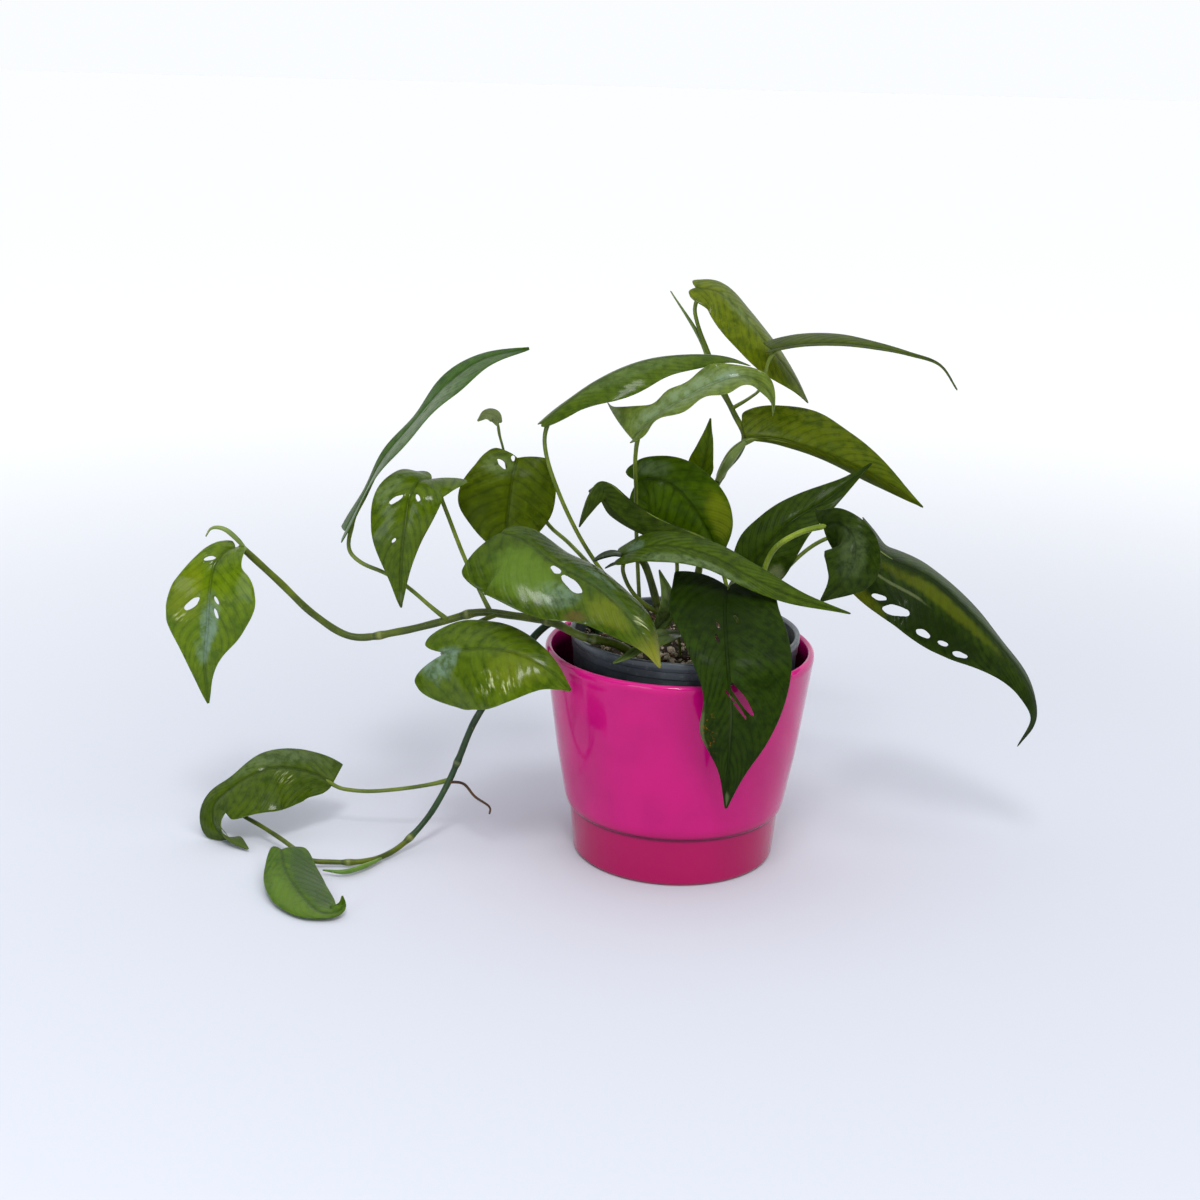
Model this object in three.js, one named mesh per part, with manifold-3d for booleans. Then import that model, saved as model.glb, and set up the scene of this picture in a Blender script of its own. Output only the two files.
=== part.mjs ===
// A potted cebu blue pothos: a glazed cover pot, a grower's pot of soil in it, vines and leaves.
// Millimetres, +Z up, -Y is the front. The origin is the middle of the cover pot's flat base.

import * as THREE from 'three';
import { mergeVertices } from 'three/addons/utils/BufferGeometryUtils.js';
import Module from 'manifold-3d';

const wasm = await Module();
wasm.setup();

// Driving dimensions
const coverHeight = 113.4;
const coverRimRadius = 70;
const coverBaseRadius = 53.2;
const coverFloor = 6;
const bandHeight = 26;
const growerRimRadius = 59.5;
const growerRimTop = 121.5;
const growerBaseRadius = 43;
const growerWall = 1.3;
const growerShift = 2.5;
const soilLevel = 113;
const soilLumps = 1.1;
const soilCrown = 2.2;
const gap = 0.3;
const bladeThickness = 0.8;
const bladeRows = 7;
const growerSides = 36;

const finishes = {
  glaze: { color: 0xc2187c, roughness: 0.12, metalness: 0 },
  plastic: { color: 0x4a5560, roughness: 0.35, metalness: 0 },
  soil: { color: 0x3a2c22, roughness: 0.95, metalness: 0 },
  vine: { color: 0x4f7a2c, roughness: 0.45, metalness: 0 },
  leaf: { color: 0x3f6f22, roughness: 0.35, metalness: 0 },
  darkLeaf: { color: 0x27481f, roughness: 0.35, metalness: 0 },
};

const plant = new THREE.Group();

function vector(point) {
  return new THREE.Vector3(point[0], point[1], point[2]);
}

function route(points) {
  return new THREE.CatmullRomCurve3(points.map(vector), false, 'centripetal');
}

// A closed geometry with its doubles merged, ready to be joined or cut.
function solidOf(geometry) {
  const bare = geometry.clone();
  bare.deleteAttribute('normal');
  bare.deleteAttribute('uv');
  const merged = mergeVertices(bare, 1e-4);
  return new wasm.Manifold(new wasm.Mesh({
    numProp: 3,
    vertProperties: new Float32Array(merged.attributes.position.array),
    triVerts: new Uint32Array(merged.index.array),
  }));
}

function geometryOf(solid) {
  const mesh = solid.getMesh();
  const geometry = new THREE.BufferGeometry();
  geometry.setAttribute('position', new THREE.BufferAttribute(mesh.vertProperties, 3));
  geometry.setIndex(new THREE.BufferAttribute(mesh.triVerts, 1));
  return geometry;
}

// The main body of a solid, without the scraps that a cut leaves.
function largest(solid) {
  return solid.decompose().reduce((main, part) => (part.volume() > main.volume() ? part : main));
}

function addPiece(name, geometry, finish) {
  const mesh = new THREE.Mesh(geometry, new THREE.MeshStandardMaterial(finishes[finish]));
  mesh.name = name;
  plant.add(mesh);
}

// A round stalk along a curve, from a capped cylinder bent to it. Its radius runs from first to
// last, it swells at each joint, given as a share of the length, and reach makes both ends longer.
function stalkGeometry(curve, first, last, sides, steps, shape = {}) {
  const { joints = [], swell = 0, reach = 0 } = shape;
  const geometry = new THREE.CylinderGeometry(1, 1, 1, sides, steps);
  const frames = curve.computeFrenetFrames(steps);
  const place = geometry.attributes.position;
  for (let i = 0; i < place.count; i += 1) {
    const share = place.getY(i) + 0.5;
    const step = Math.round(share * steps);
    let radius = first + (last - first) * share;
    for (const joint of joints) {
      radius += swell * Math.exp(-(((share - joint) * steps) ** 2));
    }
    const spot = curve.getPointAt(share);
    const end = step === 0 ? -reach : (step === steps ? reach : 0);
    spot.addScaledVector(frames.tangents[step], end);
    spot.addScaledVector(frames.normals[step], place.getX(i) * radius);
    spot.addScaledVector(frames.binormals[step], -place.getZ(i) * radius);
    place.setXYZ(i, spot.x, spot.y, spot.z);
  }
  return geometry;
}

// Half width at a share t of the length, from a list at equal steps: round at the stalk, then smooth.
function halfWidth(widths, t) {
  const spot = Math.min(Math.max(t, 0), 1) * (widths.length - 1);
  const index = Math.min(Math.floor(spot), widths.length - 2);
  const here = widths[index];
  const next = widths[index + 1];
  const part = spot - index;
  if (index === 0) {
    return here + (next - here) * Math.sqrt(part);
  }
  const before = widths[index - 1];
  const after = widths[index + 2] ?? 2 * next - here;
  const slopeHere = (next - before) / 2;
  const slopeNext = (after - here) / 2;
  const square = part * part;
  const cube = square * part;
  return (2 * cube - 3 * square + 1) * here + (cube - 2 * square + part) * slopeHere
    + (3 * square - 2 * cube) * next + (cube - square) * slopeNext;
}

// The way the upper side of the blade looks at a share t: its faces are spread over its length.
function facing(leaf, t) {
  const last = leaf.faces.length - 1;
  const spot = Math.min(Math.max(t, 0), 1) * last;
  const index = Math.min(Math.floor(spot), Math.max(last - 1, 0));
  const next = Math.min(index + 1, last);
  return vector(leaf.faces[index]).normalize()
    .lerp(vector(leaf.faces[next]).normalize(), spot - index);
}

// A point of the blade: t runs from the stalk to the tip, v from the left edge to the right one.
function bladePoint(leaf, t, v) {
  const reach = Math.abs(v);
  const side = v < 0 ? 0 : 1;
  const half = Math.max(halfWidth(leaf.half[side], t), 0.4);
  const back = leaf.lobe[side] * (1 - (1 - reach) ** 2) * Math.max(1 - 1.6 * t, 0) ** 2;
  const along = t - back / leaf.length;
  const share = Math.min(Math.max(along, 0), 1);
  const tangent = leaf.curve.getTangentAt(share);
  const spot = leaf.curve.getPointAt(share);
  spot.addScaledVector(tangent, (along - share) * leaf.length);
  const right = new THREE.Vector3().crossVectors(tangent, facing(leaf, along)).normalize();
  const upper = new THREE.Vector3().crossVectors(right, tangent);
  const fold = THREE.MathUtils.degToRad(leaf.fold[side]);
  const bend = THREE.MathUtils.degToRad(leaf.curl[side]) * reach * half / Math.max(...leaf.half[side]);
  const reached = reach * half;
  let out = reached * Math.cos(fold);
  let up = reached * Math.sin(fold);
  if (Math.abs(bend) > 1e-3) {
    out = reached * (Math.sin(fold + bend) - Math.sin(fold)) / bend;
    up = reached * (Math.cos(fold) - Math.cos(fold + bend)) / bend;
  }
  const [height, count, shift] = leaf.wave;
  up += height * reach ** 2 * Math.sin(2 * Math.PI * (count * t + shift + 0.4 * side));
  spot.addScaledVector(right, Math.sign(v) * out);
  return spot.addScaledVector(upper, up);
}

function bladeNormal(leaf, t, v) {
  const step = 0.01;
  const low = Math.max(t - step, 0);
  const high = Math.min(t + step, 0.995);
  const along = bladePoint(leaf, Math.max(high, low + step), v).sub(bladePoint(leaf, low, v));
  const left = Math.max(v - 0.05, -1);
  const rightward = Math.min(v + 0.05, 1);
  const across = bladePoint(leaf, Math.min(t, 0.98), rightward)
    .sub(bladePoint(leaf, Math.min(t, 0.98), left));
  return across.cross(along).normalize();
}

// Rows stand closer at the stalk, where the lobes are round.
function rowShare(row) {
  return (row / bladeRows) ** 1.25;
}

// A thin closed blade: one grid of points carried to both faces, with the same diagonals.
function bladeGeometry(leaf) {
  const points = [];
  const bladeColumns = leaf.columns ?? 6;
  const across = bladeColumns + 1;
  for (const face of [0.5, -0.5]) {
    for (let row = 0; row <= bladeRows; row += 1) {
      const t = rowShare(row);
      for (let column = 0; column <= bladeColumns; column += 1) {
        const v = 2 * column / bladeColumns - 1;
        const spot = bladePoint(leaf, t, v);
        spot.addScaledVector(bladeNormal(leaf, t, v), face * bladeThickness);
        points.push(spot.x, spot.y, spot.z);
      }
    }
  }
  const under = across * (bladeRows + 1);
  const faces = [];
  for (let row = 0; row < bladeRows; row += 1) {
    for (let column = 0; column < bladeColumns; column += 1) {
      const a = row * across + column;
      const b = a + 1;
      const c = b + across;
      const d = a + across;
      faces.push(a, b, c, a, c, d);
      faces.push(under + a, under + c, under + b, under + a, under + d, under + c);
    }
  }
  for (let row = 0; row < bladeRows; row += 1) {
    const left = row * across;
    const right = left + bladeColumns;
    closeRim(faces, left, left + across, under);
    closeRim(faces, right + across, right, under);
  }
  for (let column = 0; column < bladeColumns; column += 1) {
    const tip = bladeRows * across + column;
    closeRim(faces, column + 1, column, under);
    closeRim(faces, tip, tip + 1, under);
  }
  const geometry = new THREE.BufferGeometry();
  geometry.setAttribute('position', new THREE.Float32BufferAttribute(points, 3));
  geometry.setIndex(faces);
  return geometry;
}

function closeRim(faces, from, to, under) {
  faces.push(from, to, under + to, from, under + to, under + from);
}

// An oval slit through the blade at (t, v), turned from the midrib towards the tip.
function slitSolid(leaf, [t, v, long, wide, turn]) {
  const spot = bladePoint(leaf, t, v);
  const normal = bladeNormal(leaf, t, v);
  const along = bladePoint(leaf, t + 0.02, v).sub(bladePoint(leaf, t - 0.02, v)).normalize();
  along.applyAxisAngle(normal, THREE.MathUtils.degToRad(turn));
  const across = new THREE.Vector3().crossVectors(normal, along);
  const cutter = new THREE.CylinderGeometry(1, 1, 1, 8, 1);
  const depth = 5;
  cutter.applyMatrix4(new THREE.Matrix4().makeScale(wide / 2, depth, long / 2));
  cutter.applyMatrix4(new THREE.Matrix4().makeBasis(across, normal, along));
  cutter.translate(spot.x, spot.y, spot.z);
  return solidOf(cutter);
}

// Cover pot: a thrown shell with a foot band, a step, a flared wall and a rolled lip.
function coverPot() {
  const outer = [
    [0, 0], [coverBaseRadius - 1.4, 0], [coverBaseRadius, 1.6], [55.4, bandHeight],
    [57.2, bandHeight + 1.6], [58.2, bandHeight + 5], [63, 58], [66.6, 85], [69.4, 107],
    [coverRimRadius, 111], [69.2, 113], [68, coverHeight], [66.7, 112.6],
  ];
  const inner = [
    [66, 110.6], [62.4, 85], [59, 58], [51.4, coverFloor + 12], [49, coverFloor + 1.6],
    [46.5, coverFloor], [0, coverFloor],
  ];
  return profileSpin([...outer, ...inner], 40);
}

function profileSpin(profile, segments) {
  const points = profile.map(([radius, height]) => new THREE.Vector2(radius, height));
  const geometry = new THREE.LatheGeometry(points, segments);
  geometry.rotateX(Math.PI / 2);
  return geometry;
}

// Grower's pot: a thin tapered shell with a ribbed collar and drain holes in its floor.
function growerPot() {
  const bottom = coverFloor + gap;
  const rim = growerRimRadius;
  const top = growerRimTop;
  const profile = [
    [0, bottom], [growerBaseRadius - 1, bottom], [growerBaseRadius, bottom + 1],
    [56.4, top - 19], [57.8, top - 18.4], [58, top - 9], [58.7, top - 8.6], [58.7, top - 5],
    [59.1, top - 4.6], [rim, top - 2.8], [rim, top - 0.6], [rim - 0.6, top],
    [rim - 2.8, top - 0.6], [rim - 2.8, top - 18],
    [growerBaseRadius - growerWall, bottom + growerWall + 1], [growerBaseRadius - 2.6, bottom + growerWall],
    [0, bottom + growerWall],
  ];
  let solid = solidOf(profileSpin(profile, growerSides));
  const holeCircle = growerBaseRadius * 0.72;
  const holes = 6;
  for (let i = 0; i < holes; i += 1) {
    const angle = i / holes * 2 * Math.PI;
    const hole = new THREE.CylinderGeometry(4, 4, 6, 10, 1);
    hole.rotateX(Math.PI / 2);
    hole.translate(holeCircle * Math.cos(angle), holeCircle * Math.sin(angle), bottom + 1);
    solid = solid.subtract(solidOf(hole));
  }
  return geometryOf(solid.translate([growerShift, 0, 0]));
}

// Beads of perlite on the soil, each with its place and its size, and one chip of bark in front.
const beads = [
  [4, -38, 5], [9, -41, 4.4], [1, -43, 4], [6, -46, 3.6], [14, -37, 3.4],
  [-4, -47, 3.6], [38, -31, 4], [45, -19, 3.4], [-33, 30, 4], [10, 42, 4.4],
];
const barkPlace = [12, -47];
const barkSize = [10, 5, 3];

// Height of the soil at a place, measured from the middle of the grower's pot.
function soilTop(x, y) {
  const lump = Math.sin(0.31 * x + 1.1) * Math.cos(0.27 * y - 0.4) + 0.6 * Math.sin(0.5 * x - 0.43 * y);
  const crown = 1 - (Math.hypot(x, y) / growerRimRadius) ** 2;
  return soilLevel + soilLumps * lump + soilCrown * crown;
}

// Soil: fills the grower's pot, its top raised in soft lumps.
function soilSolid() {
  const bottom = coverFloor + gap + growerWall + gap;
  const clear = growerWall + gap;
  const profile = [
    [0, bottom], [growerBaseRadius - 3.4, bottom], [growerBaseRadius - clear - 0.2, bottom + 1.4],
    [growerRimRadius - 2.8 - gap - 0.1, growerRimTop - 18], [growerRimRadius - 2.8 - gap, soilLevel - 0.5],
    [49, soilLevel], [39, soilLevel], [28, soilLevel], [16, soilLevel], [0, soilLevel],
  ];
  const geometry = profileSpin(profile, growerSides);
  const place = geometry.attributes.position;
  for (let i = 0; i < place.count; i += 1) {
    if (place.getZ(i) > soilLevel - 0.2) {
      place.setZ(i, soilTop(place.getX(i), place.getY(i)));
    }
  }
  let solid = solidOf(geometry).translate([growerShift, 0, 0]);
  for (const [x, y, size] of beads) {
    const bead = new THREE.IcosahedronGeometry(size / 2, 0);
    bead.translate(x, y, soilTop(x - growerShift, y));
    solid = solid.add(solidOf(bead));
  }
  const chip = new THREE.BoxGeometry(...barkSize);
  chip.rotateX(-0.35);
  chip.rotateZ(0.5);
  chip.translate(...barkPlace, soilTop(barkPlace[0] - growerShift, barkPlace[1]));
  return solid.add(solidOf(chip));
}

// Stems: the vines and the short stems of the crown. Each stands in the soil.
const stems = {
  left_vine: {
    points: [
      [-14, -24, 102], [-22, -27, 113], [-33, -29, 121], [-50, -30, 125], [-66, -20, 129],
      [-87, -10, 129], [-104, -6, 129], [-123, -4, 123], [-145, -4, 117], [-170, -4, 113.5],
      [-189, -4, 124.5], [-207, -5, 142.5], [-226, -8, 162],
    ],
    radius: [2.2, 1.4],
    steps: 40,
    joints: [0.16, 0.27, 0.45, 0.64],
    shoots: [
      {
        points: [[-221, -8, 157], [-227, -8, 165], [-234, -8, 170.5], [-240, -8, 170.5], [-243, -8, 166]],
        radius: [1, 1.5, 0.4],
      },
    ],
  },
  trailing_vine: {
    points: [
      [-36, 10, 102], [-44, 9, 117], [-55, 6, 125.5], [-64, 4, 123.5], [-73, 1, 117.5], [-84, 0, 103],
      [-96, 0, 85], [-107, 0, 66], [-115, 0, 45], [-120, -2, 33], [-130, -9, 16], [-142, -20, 5],
      [-152, -32, 2.6], [-163, -39, 2.6], [-177, -41, 3], [-187, -42, 4], [-195, -34, 5],
      [-206, -23, 7], [-219, -12, 9.5], [-229, -6, 12],
    ],
    radius: [1.9, 1],
    steps: 44,
    joints: [0.46, 0.62],
    shoots: [
      { points: [[-152, -34, 2.6], [-160, -45, 2.8], [-169, -52, 2.8], [-180, -51, 3]], radius: [0.8, 2.1, 0.5] },
      { points: [[-121, -2, 33], [-112, -6, 34], [-105, -14, 30], [-97, -16, 25], [-97, -20, 23]], radius: [0.9, 0.8, 0.6] },
    ],
  },
  back_vine: {
    points: [
      [2, 22, 102], [6, 24, 122], [11, 34, 149], [15, 47, 177], [22, 52, 193], [30, 55, 203],
      [33, 57, 212], [27, 58, 224], [21, 60, 235],
    ],
    radius: [2.4, 1.7],
    steps: 22,
    joints: [0.66],
    shoots: [
      { points: [[27, 58, 224], [17, 61, 240], [8, 64, 262], [-9, 68, 287]], radius: [1, 1.6, 0.4] },
    ],
  },
  crown_stem_left: {
    points: [[-26, 2, 102], [-28, 1, 118], [-33, -1, 134], [-42, -3, 152]],
    radius: [2.2, 1.6],
    steps: 10,
    joints: [0.5],
  },
  crown_stem_front: {
    points: [[-4, -12, 102], [-9, -9, 122], [-12, -8, 134], [-19, -8, 156]],
    radius: [2.6, 2],
    steps: 10,
    joints: [0.5],
  },
  crown_stem_right: {
    points: [[26, -2, 102], [28, -2, 120], [32, 0, 136], [34, 2, 148]],
    radius: [2.4, 1.8],
    steps: 10,
    joints: [0.6],
  },
};

const stemSides = 6;
for (const stem of Object.values(stems)) {
  stem.curve = route(stem.points);
}

// The body of a stem, its side shoots with it, grown by extra on every side.
function stemSolid(stem, extra) {
  const [first, last] = stem.radius;
  const shape = { joints: stem.joints, swell: 0.5, reach: extra };
  const tube = stalkGeometry(stem.curve, first + extra, last + extra, stemSides, stem.steps, shape);
  return (stem.shoots ?? []).reduce((solid, shoot) => solid.add(shootSolid(shoot, extra)), solidOf(tube));
}

// A side shoot, such as a rolled new leaf, a sheath or an aerial root, thickest in its middle.
function shootSolid(shoot, extra) {
  const [first, middle, last] = shoot.radius;
  const shape = { joints: [0.5], swell: middle - (first + last) / 2, reach: extra };
  return solidOf(stalkGeometry(route(shoot.points), first + extra, last + extra, 5, 6, shape));
}

// Each leaf: its midrib from the stalk to the tip, the ways its upper side looks, its half widths
// left and right at equal steps, how far its lobes reach back, the fold and curl of each half in
// degrees, its wave, its slits and its stalk from the blade downwards.
const leaves = [
  {
    name: 'leaf_01_far_left',
    midrib: [
      [-228, -8, 161], [-232, -14, 160], [-236, -20, 155], [-238, -25, 144], [-240, -25, 124],
      [-243, -21, 102], [-243, -16, 79],
    ],
    faces: [[-0.1, -1, 0.35], [-0.1, -1, 0.15], [0, -1, 0]],
    half: [[3, 15, 24, 19, 10, 4, 0.4], [4, 11, 20, 22, 13, 6, 0.4]],
    lobe: [3, 2],
    fold: [16, 14],
    curl: [-20, -20],
    wave: [0.8, 3, 0],
    slits: [
      [0.4, 0.38, 10, 3.6, -40], [0.16, 0.37, 6, 2.4, -50], [0.36, -0.18, 4.5, 2, 40],
      [0.43, -0.2, 6, 2, 30],
    ],
    stalk: [],
    stem: 'left_vine',
    finish: 'leaf',
  },
  {
    name: 'leaf_02_upper_left',
    midrib: [
      [-174, 6, 167], [-165, 6, 185], [-154, 8, 206], [-140, 10, 223], [-123, 14, 243], [-105, 16, 256],
      [-81, 18, 262],
    ],
    faces: [[-0.8, -0.15, 0.5], [-0.72, -0.28, 0.62], [-0.4, -0.45, 0.85]],
    half: [[4, 10, 12, 12, 11, 7, 0.4], [5, 12, 15, 17, 18, 12, 0.4]],
    lobe: [5, 5],
    fold: [10, 10],
    curl: [-14, -14],
    wave: [0.8, 3, 0.2],
    columns: 4,
    slits: [[0.55, 0.3, 5, 2, 30]],
    stalk: [[-172, 4, 158], [-166, 2, 152], [-153, 0, 147], [-142, -2, 141], [-127, -4, 129], [-120, -5, 124]],
    stem: 'left_vine',
    finish: 'leaf',
  },
  {
    name: 'leaf_03_drooping',
    midrib: [
      [-129, 2, 197], [-135, -6, 197], [-139, -13, 190], [-141, -16, 176], [-143, -15, 157],
      [-144, -8, 131],
    ],
    faces: [[0, -0.75, 0.8], [0, -1, 0.3], [0, -1, 0]],
    half: [[17, 23, 19, 10, 6, 3, 0.4], [7, 16, 19, 17, 11, 5, 0.4]],
    lobe: [10, 4],
    fold: [8, 8],
    curl: [-30, -30],
    wave: [0.9, 3, 0.1],
    slits: [[0.29, 0.34, 8, 2.6, -45], [0.27, -0.27, 4, 2, 40], [0.53, 0.28, 3, 1.4, -40]],
    stalk: [[-127, 4, 192], [-123, 5, 182], [-113, 5, 156], [-104, 1, 138], [-98, -6, 129]],
    stem: 'left_vine',
    finish: 'leaf',
  },
  {
    name: 'leaf_04_round_back',
    midrib: [[-87, 30, 203], [-89, 24, 195], [-91, 20, 180], [-92, 20, 165], [-92, 24, 148]],
    faces: [[0, -1, 0.4], [0, -1, 0], [0, -1, -0.1]],
    half: [[14, 22, 24, 23, 18, 11, 1], [12, 20, 26, 26, 18, 8, 1]],
    lobe: [3, 3],
    fold: [6, 6],
    curl: [-16, -16],
    wave: [0.8, 2, 0.3],
    slits: [[0.12, 0.36, 7, 3, 30], [0.03, 0.14, 3.4, 2, 20]],
    stalk: [[-86, 34, 199], [-79, 37, 179], [-70, 34, 166], [-60, 24, 160], [-46, 8, 150], [-37, -2, 142]],
    stem: 'crown_stem_left',
    finish: 'leaf',
  },
  {
    name: 'leaf_05_tiny',
    midrib: [[-98, 34, 222], [-101, 31, 227], [-106, 28, 226], [-109, 26, 222]],
    faces: [[0, 0.2, 1], [-0.6, 0, 0.7]],
    half: [[2, 5, 7, 6, 4, 2, 0.4], [2, 5, 7, 6, 4, 2, 0.4]],
    lobe: [1, 1],
    fold: [0, 0],
    curl: [-70, -70],
    wave: [0, 1, 0],
    columns: 4,
    slits: [],
    stalk: [[-97, 36, 214], [-95, 38, 206], [-89, 41, 178], [-72, 28, 148], [-48, 10, 126], [-30, 1, 120]],
    stem: 'crown_stem_left',
    stalkRadius: 0.8,
    finish: 'leaf',
  },
  {
    name: 'leaf_06_front_left',
    midrib: [
      [-92, -26, 177], [-81, -31, 175], [-66, -39, 166], [-45, -48, 157], [-31, -55, 147],
      [-18, -62, 133], [-12, -65, 121],
    ],
    faces: [[0.1, -0.75, 0.7], [0.2, -0.75, 0.65], [0.4, -0.8, 0.5]],
    half: [[6, 18, 25, 27, 23, 13, 0.4], [22, 34, 35, 29, 20, 9, 0.4]],
    lobe: [3, 10],
    fold: [-20, 6],
    curl: [-50, -30],
    wave: [1, 3, 0],
    slits: [[0.34, 0.1, 6, 4, -10], [0.44, 0.22, 14, 5, -20]],
    stalk: [[-96, -18, 171], [-88, -12, 160], [-78, -12, 146], [-66, -19, 130]],
    stem: 'left_vine',
    finish: 'leaf',
  },
  {
    name: 'leaf_07_heart',
    midrib: [
      [-125, -34, 110], [-119, -37, 112], [-111, -41, 120], [-96, -46, 124], [-78, -52, 122],
      [-65, -56, 115], [-55, -58, 106],
    ],
    faces: [[0, -0.9, 0.4], [0, -0.8, 0.6], [0, -0.8, 0.5]],
    half: [[8, 17, 17, 15, 10, 5, 0.4], [11, 27, 30, 30, 24, 11, 0.4]],
    lobe: [3, 22],
    fold: [-12, 6],
    curl: [-20, -24],
    wave: [0.8, 3, 0],
    slits: [],
    stalk: [[-122, -28, 112], [-112, -18, 122], [-100, -10, 127], [-94, -8, 129]],
    stem: 'left_vine',
    finish: 'leaf',
  },
  {
    name: 'leaf_08_trailing',
    midrib: [
      [-185, 8, 27], [-195, 9, 32], [-211, 5, 36], [-221, 1, 35], [-234, -3, 28], [-245, -5, 17],
      [-243, -12, 8], [-234, -18, 4], [-223, -25, 1.6],
    ],
    faces: [[0.1, -0.6, 0.8], [0, -0.6, 0.8], [-0.4, -0.6, 0.6], [0, 0.2, -1]],
    half: [[12, 21, 26, 22, 15, 7, 0.4], [9, 15, 14, 8, 7, 4, 0.4]],
    lobe: [4, 6],
    fold: [6, 6],
    curl: [-20, -20],
    wave: [0.6, 2, 0],
    slits: [],
    stalk: [[-179, 5, 25], [-173, 5, 24], [-163, 4, 24], [-144, 2, 27], [-128, 0, 31], [-119, -1, 34]],
    stem: 'trailing_vine',
    finish: 'leaf',
  },
  {
    name: 'leaf_09_lowest',
    midrib: [
      [-202, -44, 11], [-197, -62, 8], [-185, -84, 5], [-174, -98, 3.2], [-167, -99, 3.2],
      [-163, -94, 4.6], [-164, -92, 9],
    ],
    faces: [[0.2, -0.3, 1], [0.2, -0.3, 1], [0.3, 0, 1]],
    half: [[12, 17, 18, 16, 14, 9, 0.4], [6, 12, 14, 14, 11, 4, 0.4]],
    lobe: [4, 3],
    fold: [-4, -8],
    curl: [-10, -10],
    wave: [0.5, 2, 0],
    slits: [],
    stalk: [[-199, -40, 9], [-192, -39, 6]],
    stem: 'trailing_vine',
    finish: 'leaf',
  },
  {
    name: 'leaf_10_long_top',
    midrib: [
      [-74, 2, 227], [-62, 4, 237], [-45, 6, 249], [-21, 10, 259], [5, 12, 262], [20, 12, 261], [31, 12, 257],
    ],
    faces: [[-0.3, -0.75, 0.6], [-0.1, -0.7, 0.7], [0, -0.6, 0.8]],
    half: [[4, 11, 14, 15, 14, 8, 0.4], [2, 8, 15, 15, 11, 6, 0.4]],
    lobe: [3, 3],
    fold: [-45, 4],
    curl: [-30, -20],
    wave: [0.8, 3, 0],
    columns: 4,
    slits: [],
    stalk: [[-72, 3, 221], [-71, 3, 210], [-64, 3, 190], [-54, 1, 170], [-46, -2, 158], [-36, -2, 144]],
    stem: 'crown_stem_left',
    finish: 'leaf',
  },
  {
    name: 'leaf_11_wavy',
    midrib: [
      [-28, -4, 221], [-19, -6, 232], [-5, -8, 242], [11, -8, 251], [25, -8, 255], [36, -8, 251],
      [41, -10, 243], [41, -10, 236],
    ],
    faces: [[-0.3, -0.4, 0.9], [-0.3, -0.5, 0.8], [0.3, -0.5, 0.8]],
    half: [[26, 9, 8, 10, 8, 4, 0.4], [8, 12, 13, 13, 12, 5, 0.4]],
    lobe: [2, 4],
    fold: [20, 20],
    curl: [-20, -20],
    wave: [1.6, 4, 0],
    slits: [],
    stalk: [
      [-26, -1, 213], [-25, 8, 192], [-24, 12, 168], [-22, 11, 140], [-20, 8, 116], [-20, 8, 104],
    ],
    stem: 'potting_soil',
    finish: 'leaf',
  },
  {
    name: 'leaf_12_round_lit',
    midrib: [
      [-24, 22, 194], [-17, 20, 196], [-6, 18, 193], [4, 18, 183], [13, 20, 169], [21, 24, 153],
    ],
    faces: [[0, -0.9, 0.4], [0.1, -1, 0.1], [0.1, -1, 0]],
    half: [[6, 12, 16, 18, 17, 12, 0.4], [12, 21, 24, 22, 18, 11, 0.4]],
    lobe: [6, 6],
    fold: [6, 6],
    curl: [-24, -16],
    wave: [0.8, 2, 0],
    slits: [],
    stalk: [[-22, 27, 188], [-15, 30, 170], [-2, 30, 150], [-4, 24, 128], [-6, 18, 113], [-6, 17, 104]],
    stem: 'potting_soil',
    finish: 'leaf',
  },
  {
    name: 'leaf_13_small_back',
    midrib: [[10, 50, 190], [12, 48, 204], [14, 49, 223]],
    faces: [[0.1, -1, 0.2], [0.1, -1, 0.1]],
    half: [[3, 8, 8, 6, 4, 2, 0.4], [3, 6, 5, 4, 3, 1.5, 0.4]],
    lobe: [2, 2],
    fold: [6, 6],
    curl: [-20, -20],
    wave: [0, 1, 0],
    columns: 4,
    slits: [],
    stalk: [[10, 51, 184], [13, 48, 177]],
    stem: 'back_vine',
    stalkRadius: 0.9,
    finish: 'leaf',
  },
  {
    name: 'leaf_14_dark_folded',
    midrib: [
      [15, 8, 167], [3, 4, 173], [-13, -3, 182], [-27, -8, 192], [-38, -13, 199], [-46, -18, 197],
      [-51, -20, 188], [-54, -20, 178],
    ],
    faces: [[0.2, -0.5, 0.9], [0.3, -0.5, 0.8], [-0.3, -0.8, 0.5]],
    half: [[5, 9, 11, 11, 10, 7, 0.4], [6, 14, 19, 20, 15, 8, 0.4]],
    lobe: [4, 4],
    fold: [-30, -70],
    curl: [-10, -20],
    wave: [0.6, 2, 0],
    slits: [],
    stalk: [[18, 9, 160], [22, 8, 148], [26, 4, 134], [29, 0, 124]],
    stem: 'crown_stem_right',
    finish: 'darkLeaf',
  },
  {
    name: 'leaf_15_long_front',
    midrib: [
      [-32, -18, 164], [-20, -24, 171], [-5, -30, 173], [13, -36, 170], [31, -42, 162], [51, -46, 154],
      [81, -48, 146],
    ],
    faces: [[0, -0.4, 0.9], [0.1, -0.4, 0.9], [0.1, -0.6, 0.8]],
    half: [[8, 13, 13, 11, 8, 4, 0.4], [5, 12, 12, 10, 7, 4, 0.4]],
    lobe: [3, 3],
    fold: [8, 8],
    curl: [-24, -20],
    wave: [0.6, 2, 0],
    columns: 4,
    slits: [],
    stalk: [[-31, -15, 158], [-28, -14, 148], [-22, -13, 140], [-12, -9, 132]],
    stem: 'crown_stem_front',
    finish: 'darkLeaf',
  },
  {
    name: 'leaf_16_over_the_rim',
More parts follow.
